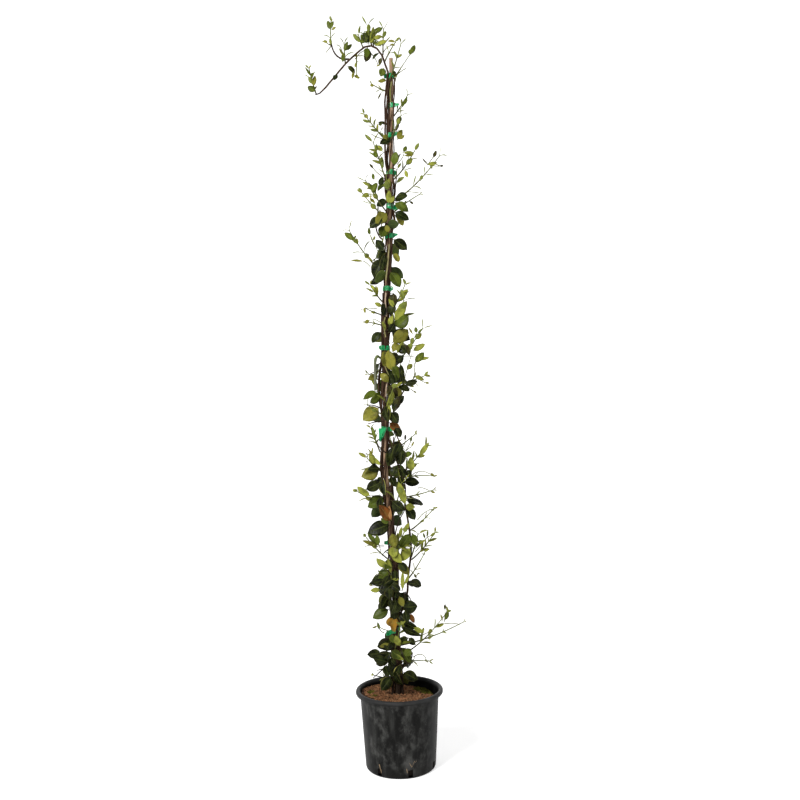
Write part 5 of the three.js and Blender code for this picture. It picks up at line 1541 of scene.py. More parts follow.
# fine new shoots without leaves: depth, and places beside the cane with their heights
threads = [
    (-14, [(43, 732), (55, 740), (75, 741), (95, 731)]), (-14, [(57, 700), (71, 700), (94, 689)]),
    (-14, [(55, 620), (70, 636), (88, 645), (98, 644)]), (-16, [(35, 495), (48, 481), (55, 486)]),
    (-14, [(60, 330), (72, 336), (88, 339)]), (-14, [(36, 276), (51, 283), (65, 278), (72, 261)]),
    (-10, [(117, 357), (136, 358), (156, 355)]), (-16, [(-34, 482), (-51, 486), (-69, 460)]),
    (-16, [(-14, 482), (-31, 500), (-40, 497)]), (-12, [(28, 1437), (51, 1444), (78, 1441)]),
    (-14, [(-20, 1112), (-37, 1124), (-54, 1124)]), (-10, [(-34, 1153), (-62, 1155)]),
    (0, [(-5, 1799), (5, 1812), (23, 1821)]), (0, [(-34, 1798), (-25, 1785), (-18, 1769)]),
    (0, [(-76, 1785), (-60, 1802), (-40, 1810)]),
    (4, [(-122, 1824), (-114, 1820), (-108, 1805), (-104, 1785)]), (4, [(-135, 1822), (-149, 1805)]),
    (-4, [(-6, 1701), (-20, 1710), (-29, 1716)]), (-8, [(-8, 1579), (-26, 1585), (-39, 1593)]),
    (-6, [(27, 1740), (42, 1751), (53, 1757)]), (-6, [(24, 1737), (42, 1762), (62, 1790)]),
    (-14, [(-25, 1288), (-37, 1314), (-47, 1338)]), (-14, [(30, 966), (53, 974), (57, 1008), (64, 1024)]),
    (-12, [(30, 973), (41, 1009), (50, 1037)]), (-16, [(-23, 344), (-40, 350), (-50, 359)]),
    (0, [(114, 1519), (125, 1514), (133, 1511)]), (-8, [(24, 1723), (29, 1739), (49, 1771), (63, 1791)]),
    (0, [(101, 1514), (114, 1531), (121, 1543)]), (0, [(101, 1515), (117, 1511), (132, 1510)]),
    (0, [(101, 1515), (97, 1524)]), (2, [(-135, 1821), (-145, 1827), (-153, 1836)]),
    (-8, [(-9, 1480), (-31, 1500), (-39, 1513)]), (-8, [(24, 1514), (37, 1530), (42, 1541)]),
    (-8, [(-49, 1259), (-60, 1270), (-66, 1273)]), (-10, [(-39, 1315), (-44, 1327), (-47, 1338)]),
    (-12, [(46, 1039), (52, 1065), (62, 1087)]), (-10, [(56, 977), (56, 997), (57, 1013)]),
    (-10, [(63, 974), (73, 969), (83, 964)]), (-12, [(40, 951), (47, 948), (53, 943)]),
    (-10, [(22, 802), (27, 812), (29, 819)]), (-10, [(29, 793), (36, 804), (42, 815)]),
    (-10, [(29, 793), (38, 800), (44, 804)]), (-12, [(-53, 783), (-62, 786), (-65, 788)]),
    (-10, [(117, 362), (119, 380), (119, 391)]), (-12, [(48, 540), (63, 557), (76, 573), (85, 579)]),
    (-12, [(-35, 338), (-42, 342), (-46, 347)]),
]
# short runs of old stem that show beside the cane, each with its radius at both ends
sideStems = [
    ((-8, [(7, 1749), (3, 1724), (0, 1698), (-3, 1672), (-3, 1653), (-3, 1621), (-4, 1589), (3, 1576)]),
     2.3, 2.3),
    ((-6, [(10, 1731), (5, 1699), (3, 1673), (1, 1647), (2, 1622), (1, 1596), (4, 1577)]), 2.3, 2.3),
    ((-8, [(-5, 1573), (-5, 1544), (-4, 1518), (-1, 1499)]), 2.5, 2.4),
    ((-8, [(-6, 1489), (-7, 1467), (-6, 1441), (-3, 1426)]), 2.5, 2.5),
    ((-8, [(23, 1733), (20, 1704), (15, 1675)]), 1.8, 1.8),
    ((-10, [(-26, 1408), (-28, 1384), (-32, 1355), (-25, 1335), (-17, 1326)]), 1.8, 1.8),
    ((-12, [(-19, 1192), (-19, 1164), (-16, 1141), (-12, 1121)]), 1.6, 1.6),
    ((-16, [(23, 669), (27, 698), (23, 730), (33, 756), (32, 776)]), 1.7, 1.5),
    ((-14, [(20, 809), (14, 819), (7, 834)]), 1.5, 1.5), ((-14, [(-2, 807), (0, 830)]), 1.4, 1.4),
    ((-14, [(1, 894), (9, 912), (19, 929), (30, 948)]), 2.0, 1.6),
]
twigs = [  # dry twigs
    [(-17, -16, 991), (-31, -16, 995), (-46, -16, 993), (-57, -16, 988)],
    [(-24, -16, 899), (-42, -16, 908), (-56, -16, 911), (-66, -16, 910)],
    [(-24, -16, 869), (-46, -16, 868), (-64, -16, 864)],
    [(-30, -18, 258), (-51, -20, 240), (-64, -20, 228)],
    [(-20, -16, 790), (-36, -16, 805), (-44, -16, 821)],
    [(-18, -16, 326), (-39, -18, 320), (-44, -18, 315)], [(20, -16, 441), (31, -16, 426), (36, -16, 415)],
    [(17, -20, 442), (19, -20, 425), (12, -20, 413)],
    [(24, -18, 262), (14, -26, 275), (2, -26, 315), (-9, -24, 335)],
    [(-3, -18, 574), (2, -18, 600), (12, -16, 625), (23, -14, 645), (26, -12, 665)],
    [(35, -18, 289), (30, -18, 269), (14, -22, 256), (5, -24, 242), (0, -24, 222)],
    [(-39, -24, 252), (-52, -24, 240), (-65, -24, 229)],
]
# the pale beige ones, aged near 1, are painted highlights on the cane; the rest are olive live stems
liveStemsAndHighlights = [  # paler stems in front of the bundle: points, radius and age
    ((-16, [(0, 1313), (-3, 1284), (-6, 1256), (-11, 1221)]), 2.0, 0.3),
    ((-16, [(-11, 1191), (-13, 1172), (-12, 1152), (-11, 1132)]), 1.9, 1.0),
    ((-17, [(-14, 1130), (-18, 1115), (-16, 1092), (-14, 1080)]), 1.7, 0.2),
    ((-17, [(-23, 1030), (-19, 1013), (-14, 998), (-8, 984)]), 1.5, 0.2),
    ((-16, [(-9, 978), (-15, 958), (-17, 932)]), 1.7, 0.9),
    ((-9, [(15, 1723), (11, 1697), (12, 1672)]), 1.6, 0.1),
    ((-12, [(-22, 1401), (-17, 1380), (-19, 1354), (-15, 1340)]), 1.5, 0.1),
]


def makeThreads(tree):
    fine = [softLine(atDepth(*spots), 1.15, 0.85, 0.2) for spots in threads]
    tubesFrom("thin_threads", fine, tree, tubeSides["thread"], barkOf("ThreadBark"))
    # olive live stems, and pale ones that are painted highlights on the cane
    liveAndHighlight = [softLine(atDepth(*spots), radius, radius * 0.85, age) for spots, radius, age in liveStemsAndHighlights]
    tubesFrom("live_stems", liveAndHighlight, tree, tubeSides["liveAndHighlight"], barkOf("LiveStemAndHighlight"))
    dry = [softLine(line, 1.7, 1.0, 1.0) for line in twigs]
    tubesFrom("dry_twigs", dry, tree, tubeSides["twig"], barkOf("DryTwig"))


makeStems()
print("stage: stems")


# Leaves.

petioles = {"mature_leaves": 0.0008, "front_leaves": 0.0008, "young_leaves": 0.0005, "small_leaves": 0.0006}
stalks = {"front": 14, "small": 3}  # the longest, in millimetres
leafMesh = {  # the blade's rows along and across, and half its thickness in metres
    "MatureLeaf": {
        "along": [-0.1, 0.0, 0.05, 0.1, 0.16, 0.24, 0.33, 0.43, 0.53, 0.63, 0.72, 0.8, 0.87, 0.93, 0.97],
        "across": [-1, -0.7, -0.35, 0, 0.35, 0.7, 1], "half": 0.0003,
    },
    "YoungLeaf": {
        "along": [-0.1, 0.0, 0.08, 0.18, 0.34, 0.52, 0.7, 0.85, 0.95], "across": [-1, -0.5, 0, 0.5, 1],
        "half": 0.00025,
    },
}


def bladeShape(rows, columns):
    # a closed blade of length 1: u along X, v across Y, and Z tells the upper face (1) from the lower (-1)
    points, faces = [], []
    inner = columns[1:-1]
    upper = [(v, 0.55 if v == 0 else 1.0) for v in inner]
    under = [(v, -1.7 if v == 0 else -1.0) for v in reversed(inner)]
    ring = [(columns[0], 0.0), *upper, (columns[-1], 0.0), *under]
    for u in rows:
        points += [(1000 * u, 1000 * v, 1000 * rise * (1 - 0.2 * v * v)) for v, rise in ring]
    n = len(ring)
    for i in range(len(rows) - 1):
        for k in range(n):
            a, b = i * n + k, i * n + (k + 1) % n
            faces.append([a, a + n, b + n, b])
    end = len(points)
    points.append((1000.0, 0.0, 0.0))
    faces += [[end - n + k, end, end - n + (k + 1) % n] for k in range(n)]
    faces.append(list(range(n)))
    shape = meshObject("blade", points, faces)
    faceOutwards(shape)
    return shape


def leafTree():  # bends a copy of the blade at each point to that point's own form
    kinds = {"Shape": "Object", "Half Thickness": "Float", "Petiole Radius": "Float", "Material": "Material"}
    tree, given = geometryTree("Leaves", kinds)

    def vectorOf(name):
        return named(tree, name, "FLOAT_VECTOR")

    shape = valueOf(tree, "GeometryNodeObjectInfo", {"Object": given["Shape"]}, "Geometry")
    copies = valueOf(tree, "GeometryNodeInstanceOnPoints", {"Points": given["Geometry"], "Instance": shape})
    real = valueOf(tree, "GeometryNodeRealizeInstances", {"Geometry": copies})
    inputs = {"Geometry": real, "Name": "leafPlace", "Value": valueOf(tree, "GeometryNodeInputPosition")}
    kept = valueOf(tree, "GeometryNodeStoreNamedAttribute", inputs, data_type="FLOAT_VECTOR")
    u, v, rise = parts(tree, vectorOf("leafPlace"))
    width, archAngle, fold = parts(tree, vectorOf("formA"))
    twistAngle, wave, cup = parts(tree, vectorOf("formB"))
    length = named(tree, "leafLength")
    petiole = given["Petiole Radius"] / length
    inBlade = u.least(0)
    share = ((inBlade - leafRule["petiole"]) / (1 - leafRule["petiole"])).least(0).most(1)
    tip = ((1.0 - share) / 0.16).most(1) ** 0.4
    half = ((share ** 0.8) * pi).sine().least(0) ** 0.75 * width * tip
    half = half.least(petiole * u.step(0.5, 0.25))
    thick = petiole * u.step(0.22, 0.04) + given["Half Thickness"] / length * u.step(0.04, 0.2)
    ripple = (inBlade * (3 * pi)).sine() * v * wave
    high = half * (v.size() * fold.sine() - v * v * cup) + ripple + rise * thick
    flat = v * half * fold.cosine()
    bend, twist = archAngle * inBlade, twistAngle * inBlade
    side = flat * twist.cosine() - high * twist.sine()
    height = flat * twist.sine() + high * twist.cosine()
    along = bend.sine() / archAngle + height * bend.sine()
    normal = (bend.cosine() - 1) / archAngle + height * bend.cosine()
    axis, facing, root = vectorOf("axis"), vectorOf("facing"), vectorOf("root")
    sideways = axis.vector("CROSS_PRODUCT", facing, axis)
    end = vectorOf("foot")
    for direction, distance in ((axis, along), (sideways, side), (facing, normal)):
        end = end.vector("ADD", end, direction.vector("SCALE", direction, distance * length))
    end = end.vector("ADD", end, root.vector("SCALE", root, (u * -10).least(0)))
    moved = valueOf(tree, "GeometryNodeSetPosition", {"Geometry": kept, "Position": end})
    smooth = valueOf(tree, "GeometryNodeSetShadeSmooth", {"Geometry": moved})
    return closeTree(tree, smooth, given["Material"])


def leavesFrom(name, leaves, tree, material, nodes=()):
    blade = leafMesh[material.name]
    spots = meshObject(name, [(0.0, 0.0, 0.0)] * len(leaves), [])
    vectors = {
        "foot": [times(leaf["foot"], mm) for leaf in leaves],
        "axis": [leaf["axis"] for leaf in leaves],
        "facing": [leaf["normal"] for leaf in leaves],
        "root": [times(minus(leaf["centre"], leaf["foot"]), mm) for leaf in leaves],
        "formA": [leaf["form"][:3] for leaf in leaves],
        "formB": [(leaf["form"][3], leaf["form"][4], leaf["cup"]) for leaf in leaves],
        "leafTint": [leaf["tint"] for leaf in leaves],
    }
    for key, values in vectors.items():
        setValues(spots, key, values, "FLOAT_VECTOR")
    setValues(spots, "leafLength", [leaf["length"] * mm for leaf in leaves])
    setValues(spots, "edging", [leaf["edging"] for leaf in leaves])
    shape = bladeShape(blade["along"], blade["across"])
    piece = grown(name, spots, tree, {
        "Shape": shape, "Half Thickness": blade["half"], "Petiole Radius": petioles[name],
        "Material": material,
    })
    bpy.data.objects.remove(shape)
    return finishPiece(piece, material, nodes)


tints = {
    "dark": (8, 12, 4), "deep": (15, 24, 8), "mid": (72, 84, 24), "fresh": (138, 142, 58),
    "olive": (116, 112, 42), "ochre": (156, 112, 36), "rust": (104, 54, 20), "brown": (38, 29, 14),
    "edged": (17, 28, 11), "tan": (150, 104, 68),
}
rowTints = {  # height and azimuth of a row of matureLeaves: its tint, and how pale the edge is
    (375, 0): ("ochre", 0.1), (356, 85): ("fresh", 0.9), (610, -75): ("dark", 0), (866, 80): ("rust", 0.3),
    (728, -10): ("edged", 0.9), (228, -15): ("deep", 0.3), (240, -35): ("deep", 0),
    (546, 20): ("fresh", 0.1), (905, -80): ("olive", 0.2),
    (1045, 10): ("olive", 0), (1040, 60): ("brown", 0), (1000, 80): ("deep", 0), (960, 50): ("brown", 0.2),
    (745, -85): ("olive", 0.1), (752, -60): ("dark", 0), (475, 0): ("deep", 0.1), (945, -85): ("mid", 0.2),
    (312, -95): ("dark", 0), (325, -10): ("dark", 0), (290, -80): ("dark", 0.1), (275, -50): ("dark", 0),
    (715, 85): ("dark", 0), (395, -75): ("mid", 0),
}
leafSeeds = {"grown": 41, "placed": 77}


def shadeAt(height):  # leaves low down are darker
    return min(1.0, 0.5 + height * 0.0008)


def tintOf(name, height, gain):
    return times(linear(*tints[name])[:3], gain * shadeAt(height))


def colourLeaves():
    shade = np.random.default_rng(leafSeeds["grown"])
    for leaf in grownLeaves:
        pick = shade.random()
        name = "dark" if pick < 0.32 else "deep" if pick < 0.62 else "mid" if pick < 0.86 else "olive"
        name, leaf["edging"] = rowTints.get(leaf["row"], (name, 0.15 * shade.random()))
        leaf["tint"] = tintOf(name, leaf["foot"][2], 0.85 + 0.3 * shade.random())
        leaf["cup"] = 0.06 + 0.14 * shade.random()
    young, old = linear(146, 146, 60)[:3], linear(70, 82, 24)[:3]
    for shoot in shoots:
        older = min(1.0, max(0.0, (shoot["leafLength"] - 18) / 26)) * (0.4 + 0.5 * shade.random())
        for leaf in shoot["leaves"]:
            share = min(1.0, older * (1.25 - 0.75 * leaf["place"]) + 0.15 * shade.random())
            leaf["tint"] = times(mixed(young, old, share), 0.88 + 0.24 * shade.random())
            leaf["edging"] = 0.1 * shade.random()
            leaf["cup"] = 0.05 + 0.1 * shade.random()


frontLeaves = [  # leaves that fill the front: foot, tip, half width over length and tint
    (10, -25, 1573, -16, -38, 1563, 0.3, "dark"), (17, -26, 1507, 20, -42, 1537, 0.3, "mid"),
    (-20, -26, 1457, -13, -41, 1473, 0.3, "deep"), (1, -19, 1414, 2, -30, 1443, 0.28, "fresh"),
    (4, -27, 1414, 15, -40, 1426, 0.25, "fresh"), (16, -27, 1415, 46, -34, 1393, 0.3, "mid"),
    (-0, -23, 1342, -8, -32, 1356, 0.4, "olive"), (-13, -24, 1298, -32, -36, 1319, 0.35, "deep"),
    (-12, -19, 1290, -17, -27, 1246, 0.22, "dark"), (8, -22, 1190, 4, -37, 1161, 0.35, "brown"),
    (10, -26, 1162, -5, -33, 1139, 0.4, "dark"), (11, -26, 1151, 1, -34, 1179, 0.25, "fresh"),
    (8, -25, 1118, 40, -32, 1164, 0.2, "fresh"), (10, -19, 1105, 41, -34, 1129, 0.42, "mid"),
    (1, -21, 1065, 46, -29, 1095, 0.3, "olive"), (-5, -28, 1108, 1, -43, 1129, 0.25, "fresh"),
    (-14, -22, 1097, -17, -37, 1116, 0.2, "fresh"), (-6, -24, 1091, 10, -37, 1108, 0.4, "dark"),
    (19, -21, 1056, 34, -36, 1041, 0.45, "dark"), (32, -25, 1063, 44, -41, 1037, 0.2, "brown"),
    (19, -27, 1061, 0, -36, 1047, 0.35, "olive"), (-1, -22, 994, -7, -30, 1045, 0.28, "olive"),
    (4, -20, 1044, 11, -27, 1066, 0.35, "olive"), (12, -22, 1039, 34, -34, 1062, 0.25, "fresh"),
    (7, -19, 1018, 28, -32, 1028, 0.42, "dark"), (4, -22, 1012, 17, -31, 977, 0.3, "mid"),
    (21, -26, 1014, 27, -37, 965, 0.15, "dark"), (-3, -22, 986, 8, -33, 966, 0.4, "deep"),
    (-9, -25, 966, -27, -32, 991, 0.3, "olive"), (30, -28, 962, 62, -34, 966, 0.27, "dark"),
    (14, -26, 957, 41, -40, 949, 0.3, "dark"), (23, -19, 928, -1, -33, 895, 0.18, "brown"),
    (19, -22, 931, -3, -34, 903, 0.22, "dark"), (2, -19, 945, -10, -26, 903, 0.2, "fresh"),
    (-9, -21, 912, -9, -36, 872, 0.12, "fresh"), (-5, -21, 893, 10, -34, 866, 0.42, "dark"),
    (5, -27, 854, 17, -43, 832, 0.35, "dark"), (-1, -22, 806, -12, -32, 769, 0.35, "dark"),
    (16, -24, 814, 4, -37, 783, 0.4, "deep"), (22, -20, 802, 12, -33, 763, 0.35, "dark"),
    (4, -26, 757, -8, -41, 738, 0.45, "dark"), (15, -19, 750, 26, -35, 737, 0.45, "dark"),
    (32, -20, 747, 40, -29, 731, 0.45, "dark"), (26, -24, 782, 40, -40, 790, 0.35, "mid"),
    (63, -22, 781, 86, -37, 812, 0.16, "fresh"), (44, -24, 742, 41, -33, 777, 0.25, "fresh"),
    (-62, -22, 684, -93, -30, 705, 0.25, "fresh"), (-35, -20, 680, -45, -27, 652, 0.3, "dark"),
    (-8, -25, 671, 17, -41, 644, 0.42, "dark"), (24, -20, 656, 48, -27, 650, 0.42, "fresh"),
    (-11, -28, 732, 1, -39, 710, 0.4, "dark"), (6, -23, 728, 23, -31, 714, 0.4, "dark"),
    (26, -24, 659, 11, -39, 715, 0.16, "fresh"), (-17, -23, 615, -35, -33, 627, 0.3, "mid"),
    (-43, -20, 555, -79, -35, 576, 0.12, "olive"), (-42, -19, 558, -69, -30, 588, 0.16, "mid"),
    (-44, -27, 561, -47, -34, 586, 0.25, "mid"), (-7, -26, 558, -6, -41, 535, 0.5, "fresh"),
    (34, -25, 589, 18, -39, 553, 0.35, "mid"), (42, -20, 588, 49, -30, 558, 0.3, "mid"),
    (36, -20, 551, 11, -35, 525, 0.33, "fresh"), (11, -22, 577, 10, -32, 603, 0.2, "fresh"),
    (-22, -28, 505, -48, -43, 528, 0.3, "fresh"), (-14, -28, 490, -19, -38, 526, 0.14, "fresh"),
    (4, -23, 517, 25, -37, 499, 0.3, "deep"), (-5, -23, 498, -4, -32, 476, 0.45, "dark"),
    (-20, -23, 486, -32, -30, 457, 0.35, "dark"), (-15, -22, 460, 5, -38, 452, 0.42, "dark"),
    (-20, -28, 456, -21, -40, 430, 0.4, "dark"), (-9, -23, 446, 5, -33, 428, 0.4, "dark"),
    (-21, -20, 425, -10, -29, 399, 0.4, "dark"), (2, -26, 426, -10, -41, 390, 0.38, "dark"),
    (-4, -22, 397, -8, -36, 379, 0.4, "dark"), (14, -26, 446, 13, -39, 492, 0.1, "fresh"),
    (18, -25, 460, 33, -39, 485, 0.12, "fresh"), (-14, -22, 475, 6, -35, 474, 0.15, "fresh"),
    (-30, -22, 475, -66, -32, 461, 0.22, "dark"), (-42, -26, 450, -63, -39, 451, 0.25, "fresh"),
    (26, -22, 465, 47, -37, 463, 0.3, "dark"), (5, -25, 432, 12, -37, 410, 0.35, "olive"),
    (11, -19, 404, 48, -31, 403, 0.42, "deep"), (4, -21, 388, 18, -34, 373, 0.42, "dark"),
    (18, -23, 397, 26, -37, 371, 0.32, "deep"), (31, -22, 388, 40, -32, 367, 0.26, "rust"),
    (-13, -22, 353, -15, -35, 380, 0.52, "ochre"), (6, -26, 357, 54, -40, 328, 0.2, "dark"),
    (12, -22, 368, 44, -37, 351, 0.28, "dark"), (39, -27, 354, 58, -40, 343, 0.3, "fresh"),
    (5, -28, 309, -8, -43, 331, 0.3, "fresh"), (-17, -24, 337, -12, -35, 320, 0.4, "mid"),
    (25, -20, 325, 5, -35, 320, 0.42, "deep"), (33, -27, 300, 15, -38, 289, 0.42, "mid"),
    (26, -25, 328, 41, -38, 314, 0.35, "dark"), (-23, -26, 316, -46, -33, 306, 0.22, "olive"),
    (-18, -26, 298, 4, -38, 281, 0.38, "mid"), (-13, -25, 289, 10, -35, 274, 0.25, "fresh"),
    (-22, -25, 277, -10, -38, 264, 0.4, "dark"), (-36, -25, 261, -25, -38, 239, 0.38, "deep"),
    (4, -19, 261, -8, -27, 229, 0.33, "edged"), (-19, -23, 260, -14, -35, 235, 0.3, "deep"),
    (-12, -21, 619, -36, -34, 660, 0.3, "rust"), (-10, -25, 621, -20, -31, 657, 0.14, "tan"),
    (-42, -22, 289, -75, -34, 292, 0.33, "dark"), (-31, -24, 269, -60, -36, 282, 0.33, "deep"),
    (-35, -22, 717, -69, -34, 702, 0.36, "dark"), (17, -22, 957, 41, -34, 951, 0.3, "brown"),
    (4, -22, 912, 28, -34, 928, 0.3, "dark"), (7, -24, 900, 12, -36, 929, 0.3, "brown"),
    (-15, -22, 1378, -48, -34, 1359, 0.36, "deep"), (27, -26, 1419, 45, -38, 1391, 0.24, "mid"),
]
smallLeaves = [  # the small young ones at the ends of shoots and threads
    (-41, -12, 1816, -40, -14, 1865, 0.2, "mid"), (-46, -9, 1821, -62, -6, 1846, 0.22, "mid"),
    (-48, -8, 1823, -65, -9, 1829, 0.22, "mid"), (-43, -15, 1818, -52, -20, 1845, 0.3, "deep"),
    (-38, -12, 1818, -23, -12, 1851, 0.2, "fresh"), (-33, -8, 1817, -24, -11, 1864, 0.15, "fresh"),
    (-23, -14, 1844, -4, -15, 1857, 0.2, "mid"), (-28, -14, 1831, -7, -18, 1834, 0.25, "fresh"),
    (-21, -10, 1817, 5, -15, 1825, 0.2, "fresh"), (-24, -12, 1813, -8, -9, 1823, 0.25, "fresh"),
    (8, -21, 1820, 26, -19, 1822, 0.25, "olive"), (13, -19, 1812, 26, -18, 1812, 0.25, "olive"),
    (-39, -9, 1806, -47, -12, 1776, 0.3, "brown"), (-22, -13, 1761, -13, -12, 1766, 0.25, "olive"),
    (-9, -11, 1784, -16, -16, 1766, 0.25, "brown"), (-4, -10, 1758, -10, -14, 1737, 0.42, "mid"),
    (22, -18, 1732, 21, -16, 1751, 0.3, "deep"), (27, -18, 1729, 23, -15, 1742, 0.3, "olive"),
    (62, -15, 1787, 79, -20, 1812, 0.2, "mid"), (66, -11, 1788, 59, -12, 1804, 0.25, "mid"),
    (-134, -8, 1857, -144, -10, 1880, 0.25, "mid"), (-133, -15, 1857, -130, -20, 1877, 0.2, "mid"),
    (-132, -13, 1855, -122, -18, 1860, 0.25, "olive"), (-144, -13, 1820, -156, -10, 1836, 0.25, "olive"),
    (-103, -10, 1802, -94, -16, 1824, 0.2, "mid"), (-101, -9, 1804, -81, -9, 1819, 0.2, "mid"),
    (-107, -8, 1774, -103, -13, 1798, 0.22, "mid"), (-95, -12, 1763, -74, -9, 1751, 0.32, "deep"),
    (-80, -11, 1750, -83, -13, 1733, 0.2, "olive"), (-78, -13, 1740, -67, -18, 1731, 0.25, "olive"),
    (-187, -13, 1739, -199, -17, 1762, 0.15, "mid"), (-186, -13, 1733, -184, -9, 1753, 0.2, "mid"),
    (-183, -8, 1715, -176, -9, 1743, 0.2, "olive"), (-177, -13, 1700, -195, -17, 1715, 0.33, "mid"),
    (-179, -10, 1706, -175, -6, 1719, 0.22, "brown"), (-29, -16, 1711, -38, -21, 1712, 0.35, "olive"),
    (-10, -14, 1696, -22, -10, 1678, 0.1, "brown"), (25, -18, 1613, 38, -18, 1636, 0.25, "deep"),
    (23, -16, 1595, 28, -19, 1617, 0.2, "brown"), (26, -21, 1572, 39, -21, 1603, 0.2, "olive"),
    (28, -22, 1574, 45, -27, 1582, 0.22, "olive"), (38, -19, 1652, 54, -16, 1688, 0.1, "mid"),
    (40, -13, 1542, 70, -14, 1544, 0.15, "fresh"), (41, -11, 1544, 49, -7, 1562, 0.25, "mid"),
    (42, -13, 1535, 67, -18, 1535, 0.12, "olive"), (50, -14, 1479, 43, -17, 1497, 0.25, "fresh"),
    (101, -11, 1512, 125, -15, 1515, 0.2, "fresh"), (115, -12, 1528, 124, -14, 1546, 0.22, "brown"),
    (98, -9, 1514, 88, -8, 1531, 0.1, "brown"), (131, -9, 1509, 142, -7, 1508, 0.25, "brown"),
    (-46, -8, 1633, -58, -6, 1646, 0.28, "olive"), (-11, -14, 1546, -28, -15, 1566, 0.3, "fresh"),
    (-27, -14, 1530, -32, -17, 1546, 0.4, "mid"), (-37, -14, 1504, -43, -16, 1520, 0.22, "brown"),
    (-34, -10, 1476, -41, -6, 1496, 0.2, "mid"), (-45, -11, 1458, -62, -13, 1477, 0.2, "fresh"),
    (-42, -15, 1445, -28, -17, 1468, 0.28, "mid"), (-44, -13, 1434, -67, -18, 1440, 0.25, "fresh"),
    (-12, -15, 1501, -17, -18, 1534, 0.16, "mid"), (-12, -8, 1621, -20, -5, 1614, 0.42, "mid"),
    (-90, -9, 1323, -111, -6, 1356, 0.2, "mid"), (-91, -16, 1324, -82, -16, 1338, 0.15, "mid"),
    (-66, -8, 1273, -97, -13, 1277, 0.1, "olive"), (-47, -10, 1338, -55, -12, 1358, 0.22, "mid"),
    (-35, -13, 1336, -40, -9, 1323, 0.2, "fresh"), (-35, -11, 1199, -51, -15, 1211, 0.22, "fresh"),
    (-22, -12, 1157, -39, -17, 1168, 0.28, "fresh"), (-64, -9, 1142, -68, -9, 1156, 0.25, "olive"),
    (-54, -14, 1124, -65, -19, 1117, 0.35, "olive"), (23, -20, 1177, 44, -19, 1198, 0.25, "fresh"),
    (63, -14, 1089, 61, -16, 1104, 0.3, "mid"), (54, -15, 1086, 44, -19, 1103, 0.12, "olive"),
    (66, -14, 1087, 80, -12, 1103, 0.15, "mid"), (52, -15, 1044, 85, -16, 1061, 0.2, "fresh"),
    (-29, -9, 1439, -46, -14, 1473, 0.16, "mid"), (-36, -12, 1441, -32, -16, 1468, 0.22, "mid"),
    (-47, -13, 1442, -67, -18, 1438, 0.25, "fresh"), (-33, -14, 1415, -44, -18, 1432, 0.2, "olive"),
    (53, -8, 1421, 63, -12, 1416, 0.25, "brown"), (-40, -12, 1269, -63, -12, 1292, 0.08, "olive"),
    (57, -11, 1014, 81, -15, 1041, 0.25, "mid"), (64, -12, 1022, 95, -8, 1028, 0.14, "fresh"),
    (55, -12, 980, 84, -9, 976, 0.25, "fresh"), (37, -8, 997, 51, -4, 1015, 0.28, "fresh"),
    (82, -15, 964, 92, -16, 963, 0.3, "olive"), (52, -12, 944, 60, -13, 939, 0.25, "olive"),
    (-44, -15, 821, -56, -21, 858, 0.12, "mid"), (-53, -13, 783, -64, -14, 803, 0.1, "olive"),
    (-55, -10, 786, -55, -9, 805, 0.14, "olive"), (-34, -14, 760, -53, -19, 776, 0.22, "fresh"),
    (90, -14, 737, 101, -15, 728, 0.25, "olive"), (90, -12, 691, 101, -12, 687, 0.25, "olive"),
    (88, -8, 645, 99, -8, 643, 0.2, "olive"), (28, -11, 819, 31, -8, 838, 0.14, "brown"),
    (42, -10, 815, 46, -8, 830, 0.2, "mid"), (44, -14, 804, 51, -14, 818, 0.15, "olive"),
    (-66, -15, 746, -55, -21, 754, 0.4, "deep"), (-72, -13, 789, -65, -13, 788, 0.3, "brown"),
    (-71, -13, 769, -66, -15, 768, 0.3, "brown"), (85, -9, 578, 101, -13, 585, 0.22, "fresh"),
    (73, -13, 573, 69, -17, 587, 0.16, "mid"), (79, -9, 577, 80, -11, 593, 0.16, "mid"),
    (59, -12, 539, 72, -12, 546, 0.16, "olive"), (65, -8, 535, 74, -6, 529, 0.2, "brown"),
    (44, -11, 485, 49, -9, 473, 0.22, "brown"), (51, -8, 483, 59, -5, 486, 0.2, "olive"),
    (117, -13, 365, 129, -9, 391, 0.25, "mid"), (119, -16, 393, 118, -14, 408, 0.2, "brown"),
    (113, -9, 365, 108, -11, 381, 0.14, "olive"), (-61, -10, 457, -72, -8, 459, 0.2, "olive"),
    (-46, -10, 346, -51, -13, 364, 0.2, "mid"), (-52, -9, 356, -63, -14, 349, 0.2, "olive"),
    (66, -16, 271, 73, -12, 259, 0.2, "olive"), (59, -11, 329, 64, -10, 349, 0.18, "fresh"),
    (-36, -12, 485, -48, -13, 496, 0.14, "mid"),
]


def leafBetween(row, shade, stalk):
    foot, tip, wide, tint = row[:3], row[3:6], row[6], row[7]
    axis = unit(minus(tip, foot))
    facing = unit(plus((0.0, -1.0, 0.0), axis, axis[1]))
    roll = radians(-32 + 64 * shade.random())
    facing = plus(times(facing, cos(roll)), cross(axis, facing), sin(roll))
    home = minus(caneAt(foot[2]), foot)
    return {
        "foot": foot, "centre": plus(foot, home, stalk / max(stalk, apart(home, (0, 0, 0)))), "axis": axis,
        "normal": facing, "length": apart(foot, tip) * 1.06, "cup": 0.05 + 0.12 * shade.random(),
        "form": (wide, 0.2 + 0.8 * shade.random(), 0.12 + 0.24 * shade.random(), -0.35 + 0.7 * shade.random(),
                 0.03 * shade.random()),
        "tint": tintOf(tint, foot[2], 0.85 + 0.3 * shade.random()),
        "edging": 0.8 if tint == "edged" else 0.15 * shade.random(),
    }


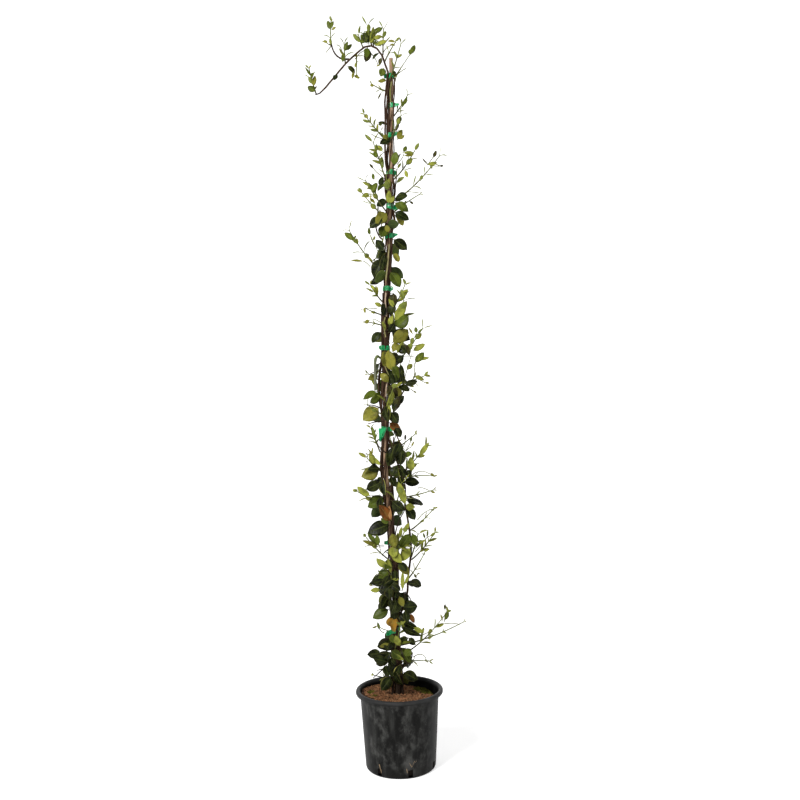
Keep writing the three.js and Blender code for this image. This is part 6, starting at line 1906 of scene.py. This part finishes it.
def makeLeaves():
    colourLeaves()
    shade = np.random.default_rng(leafSeeds["placed"])
    tree, mature, young = leafTree(), leafMaterial("MatureLeaf"), leafMaterial("YoungLeaf")
    fronts = [leafBetween(row, shade, stalks["front"]) for row in frontLeaves]
    smalls = [leafBetween(row, shade, stalks["small"]) for row in smallLeaves]
    leavesFrom("mature_leaves", grownLeaves, tree, mature, stemNames)
    leavesFrom("front_leaves", fronts, tree, mature)
    leavesFrom("young_leaves", youngLeaves, tree, young, ownShoots + stemNames)
    leavesFrom("small_leaves", smalls, tree, young)


makeLeaves()
print("stage: leaves")


# Floor, light and camera.

floorPlan = {"front": -3.2, "back": 2.2, "sweep": 1.4, "steps": 12, "wallTop": 5.0, "half": 6.0}
lamps = {  # place, what it points at, size and power
    "key": ((-1.9, -2.6, 2.9), (0, 0, 0.9), 1.2, 160),
    "fill": ((2.4, -1.9, 1.7), (0, 0, 0.8), 1.8, 26),
}
view = {"place": (0.0181, -2.255, 0.922), "roll": 1.3, "focal": 893, "photo": 800}  # the last two in pixels


def makeStage():
    back, sweep, steps = floorPlan["back"], floorPlan["sweep"], floorPlan["steps"]
    profile = [(floorPlan["front"], 0.0), (back, 0.0)]
    for i in range(1, steps + 1):
        angle = pi / 2 * i / steps
        profile.append((back + sweep * sin(angle), sweep * (1 - cos(angle))))
    profile.append((back + sweep, floorPlan["wallTop"]))
    points = [(1000 * side * floorPlan["half"], 1000 * y, 1000 * z) for y, z in profile for side in (-1, 1)]
    faces = [[2 * i, 2 * i + 1, 2 * i + 3, 2 * i + 2] for i in range(len(profile) - 1)]
    ground = meshObject("floor", points, faces)
    for face in ground.data.polygons:
        face.use_smooth = True
    settings = {
        "Roughness": 0.9, "Specular IOR Level": 0.1, "Base Color": (0.93, 0.93, 0.93, 1),
        "Emission Color": (1, 1, 1, 1), "Emission Strength": 0.5,
    }
    ground.data.materials.append(newMaterial("Floor", settings)[0])


def makeLights():
    world = bpy.data.worlds.new("Studio")
    world.use_nodes = True
    background = world.node_tree.nodes["Background"]
    background.inputs["Color"].default_value = (1, 1, 1, 1)
    background.inputs["Strength"].default_value = 0.25
    bpy.context.scene.world = world
    for name, (place, target, size, power) in lamps.items():
        data = bpy.data.lights.new(name, "AREA")
        data.shape, data.size, data.energy = "DISK", size, power
        light = newObject(name, data)
        light.location = place
        light.rotation_euler = (Vector(target) - Vector(place)).to_track_quat("-Z", "Y").to_euler()


def makeCamera():  # as fitted to the pot's outline in the photo
    data = bpy.data.cameras.new("camera")
    data.sensor_fit = "HORIZONTAL"
    data.sensor_width = 36
    data.lens = 36 * view["focal"] / view["photo"]
    data.clip_end = 30
    camera = newObject("camera", data)
    turn = Matrix.Rotation(radians(90), 4, "X") @ Matrix.Rotation(radians(-view["roll"]), 4, "Z")
    camera.matrix_world = Matrix.Translation(view["place"]) @ turn
    scene = bpy.context.scene
    scene.camera = camera
    scene.view_settings.view_transform = "Standard"


makeStage()
makeLights()
makeCamera()
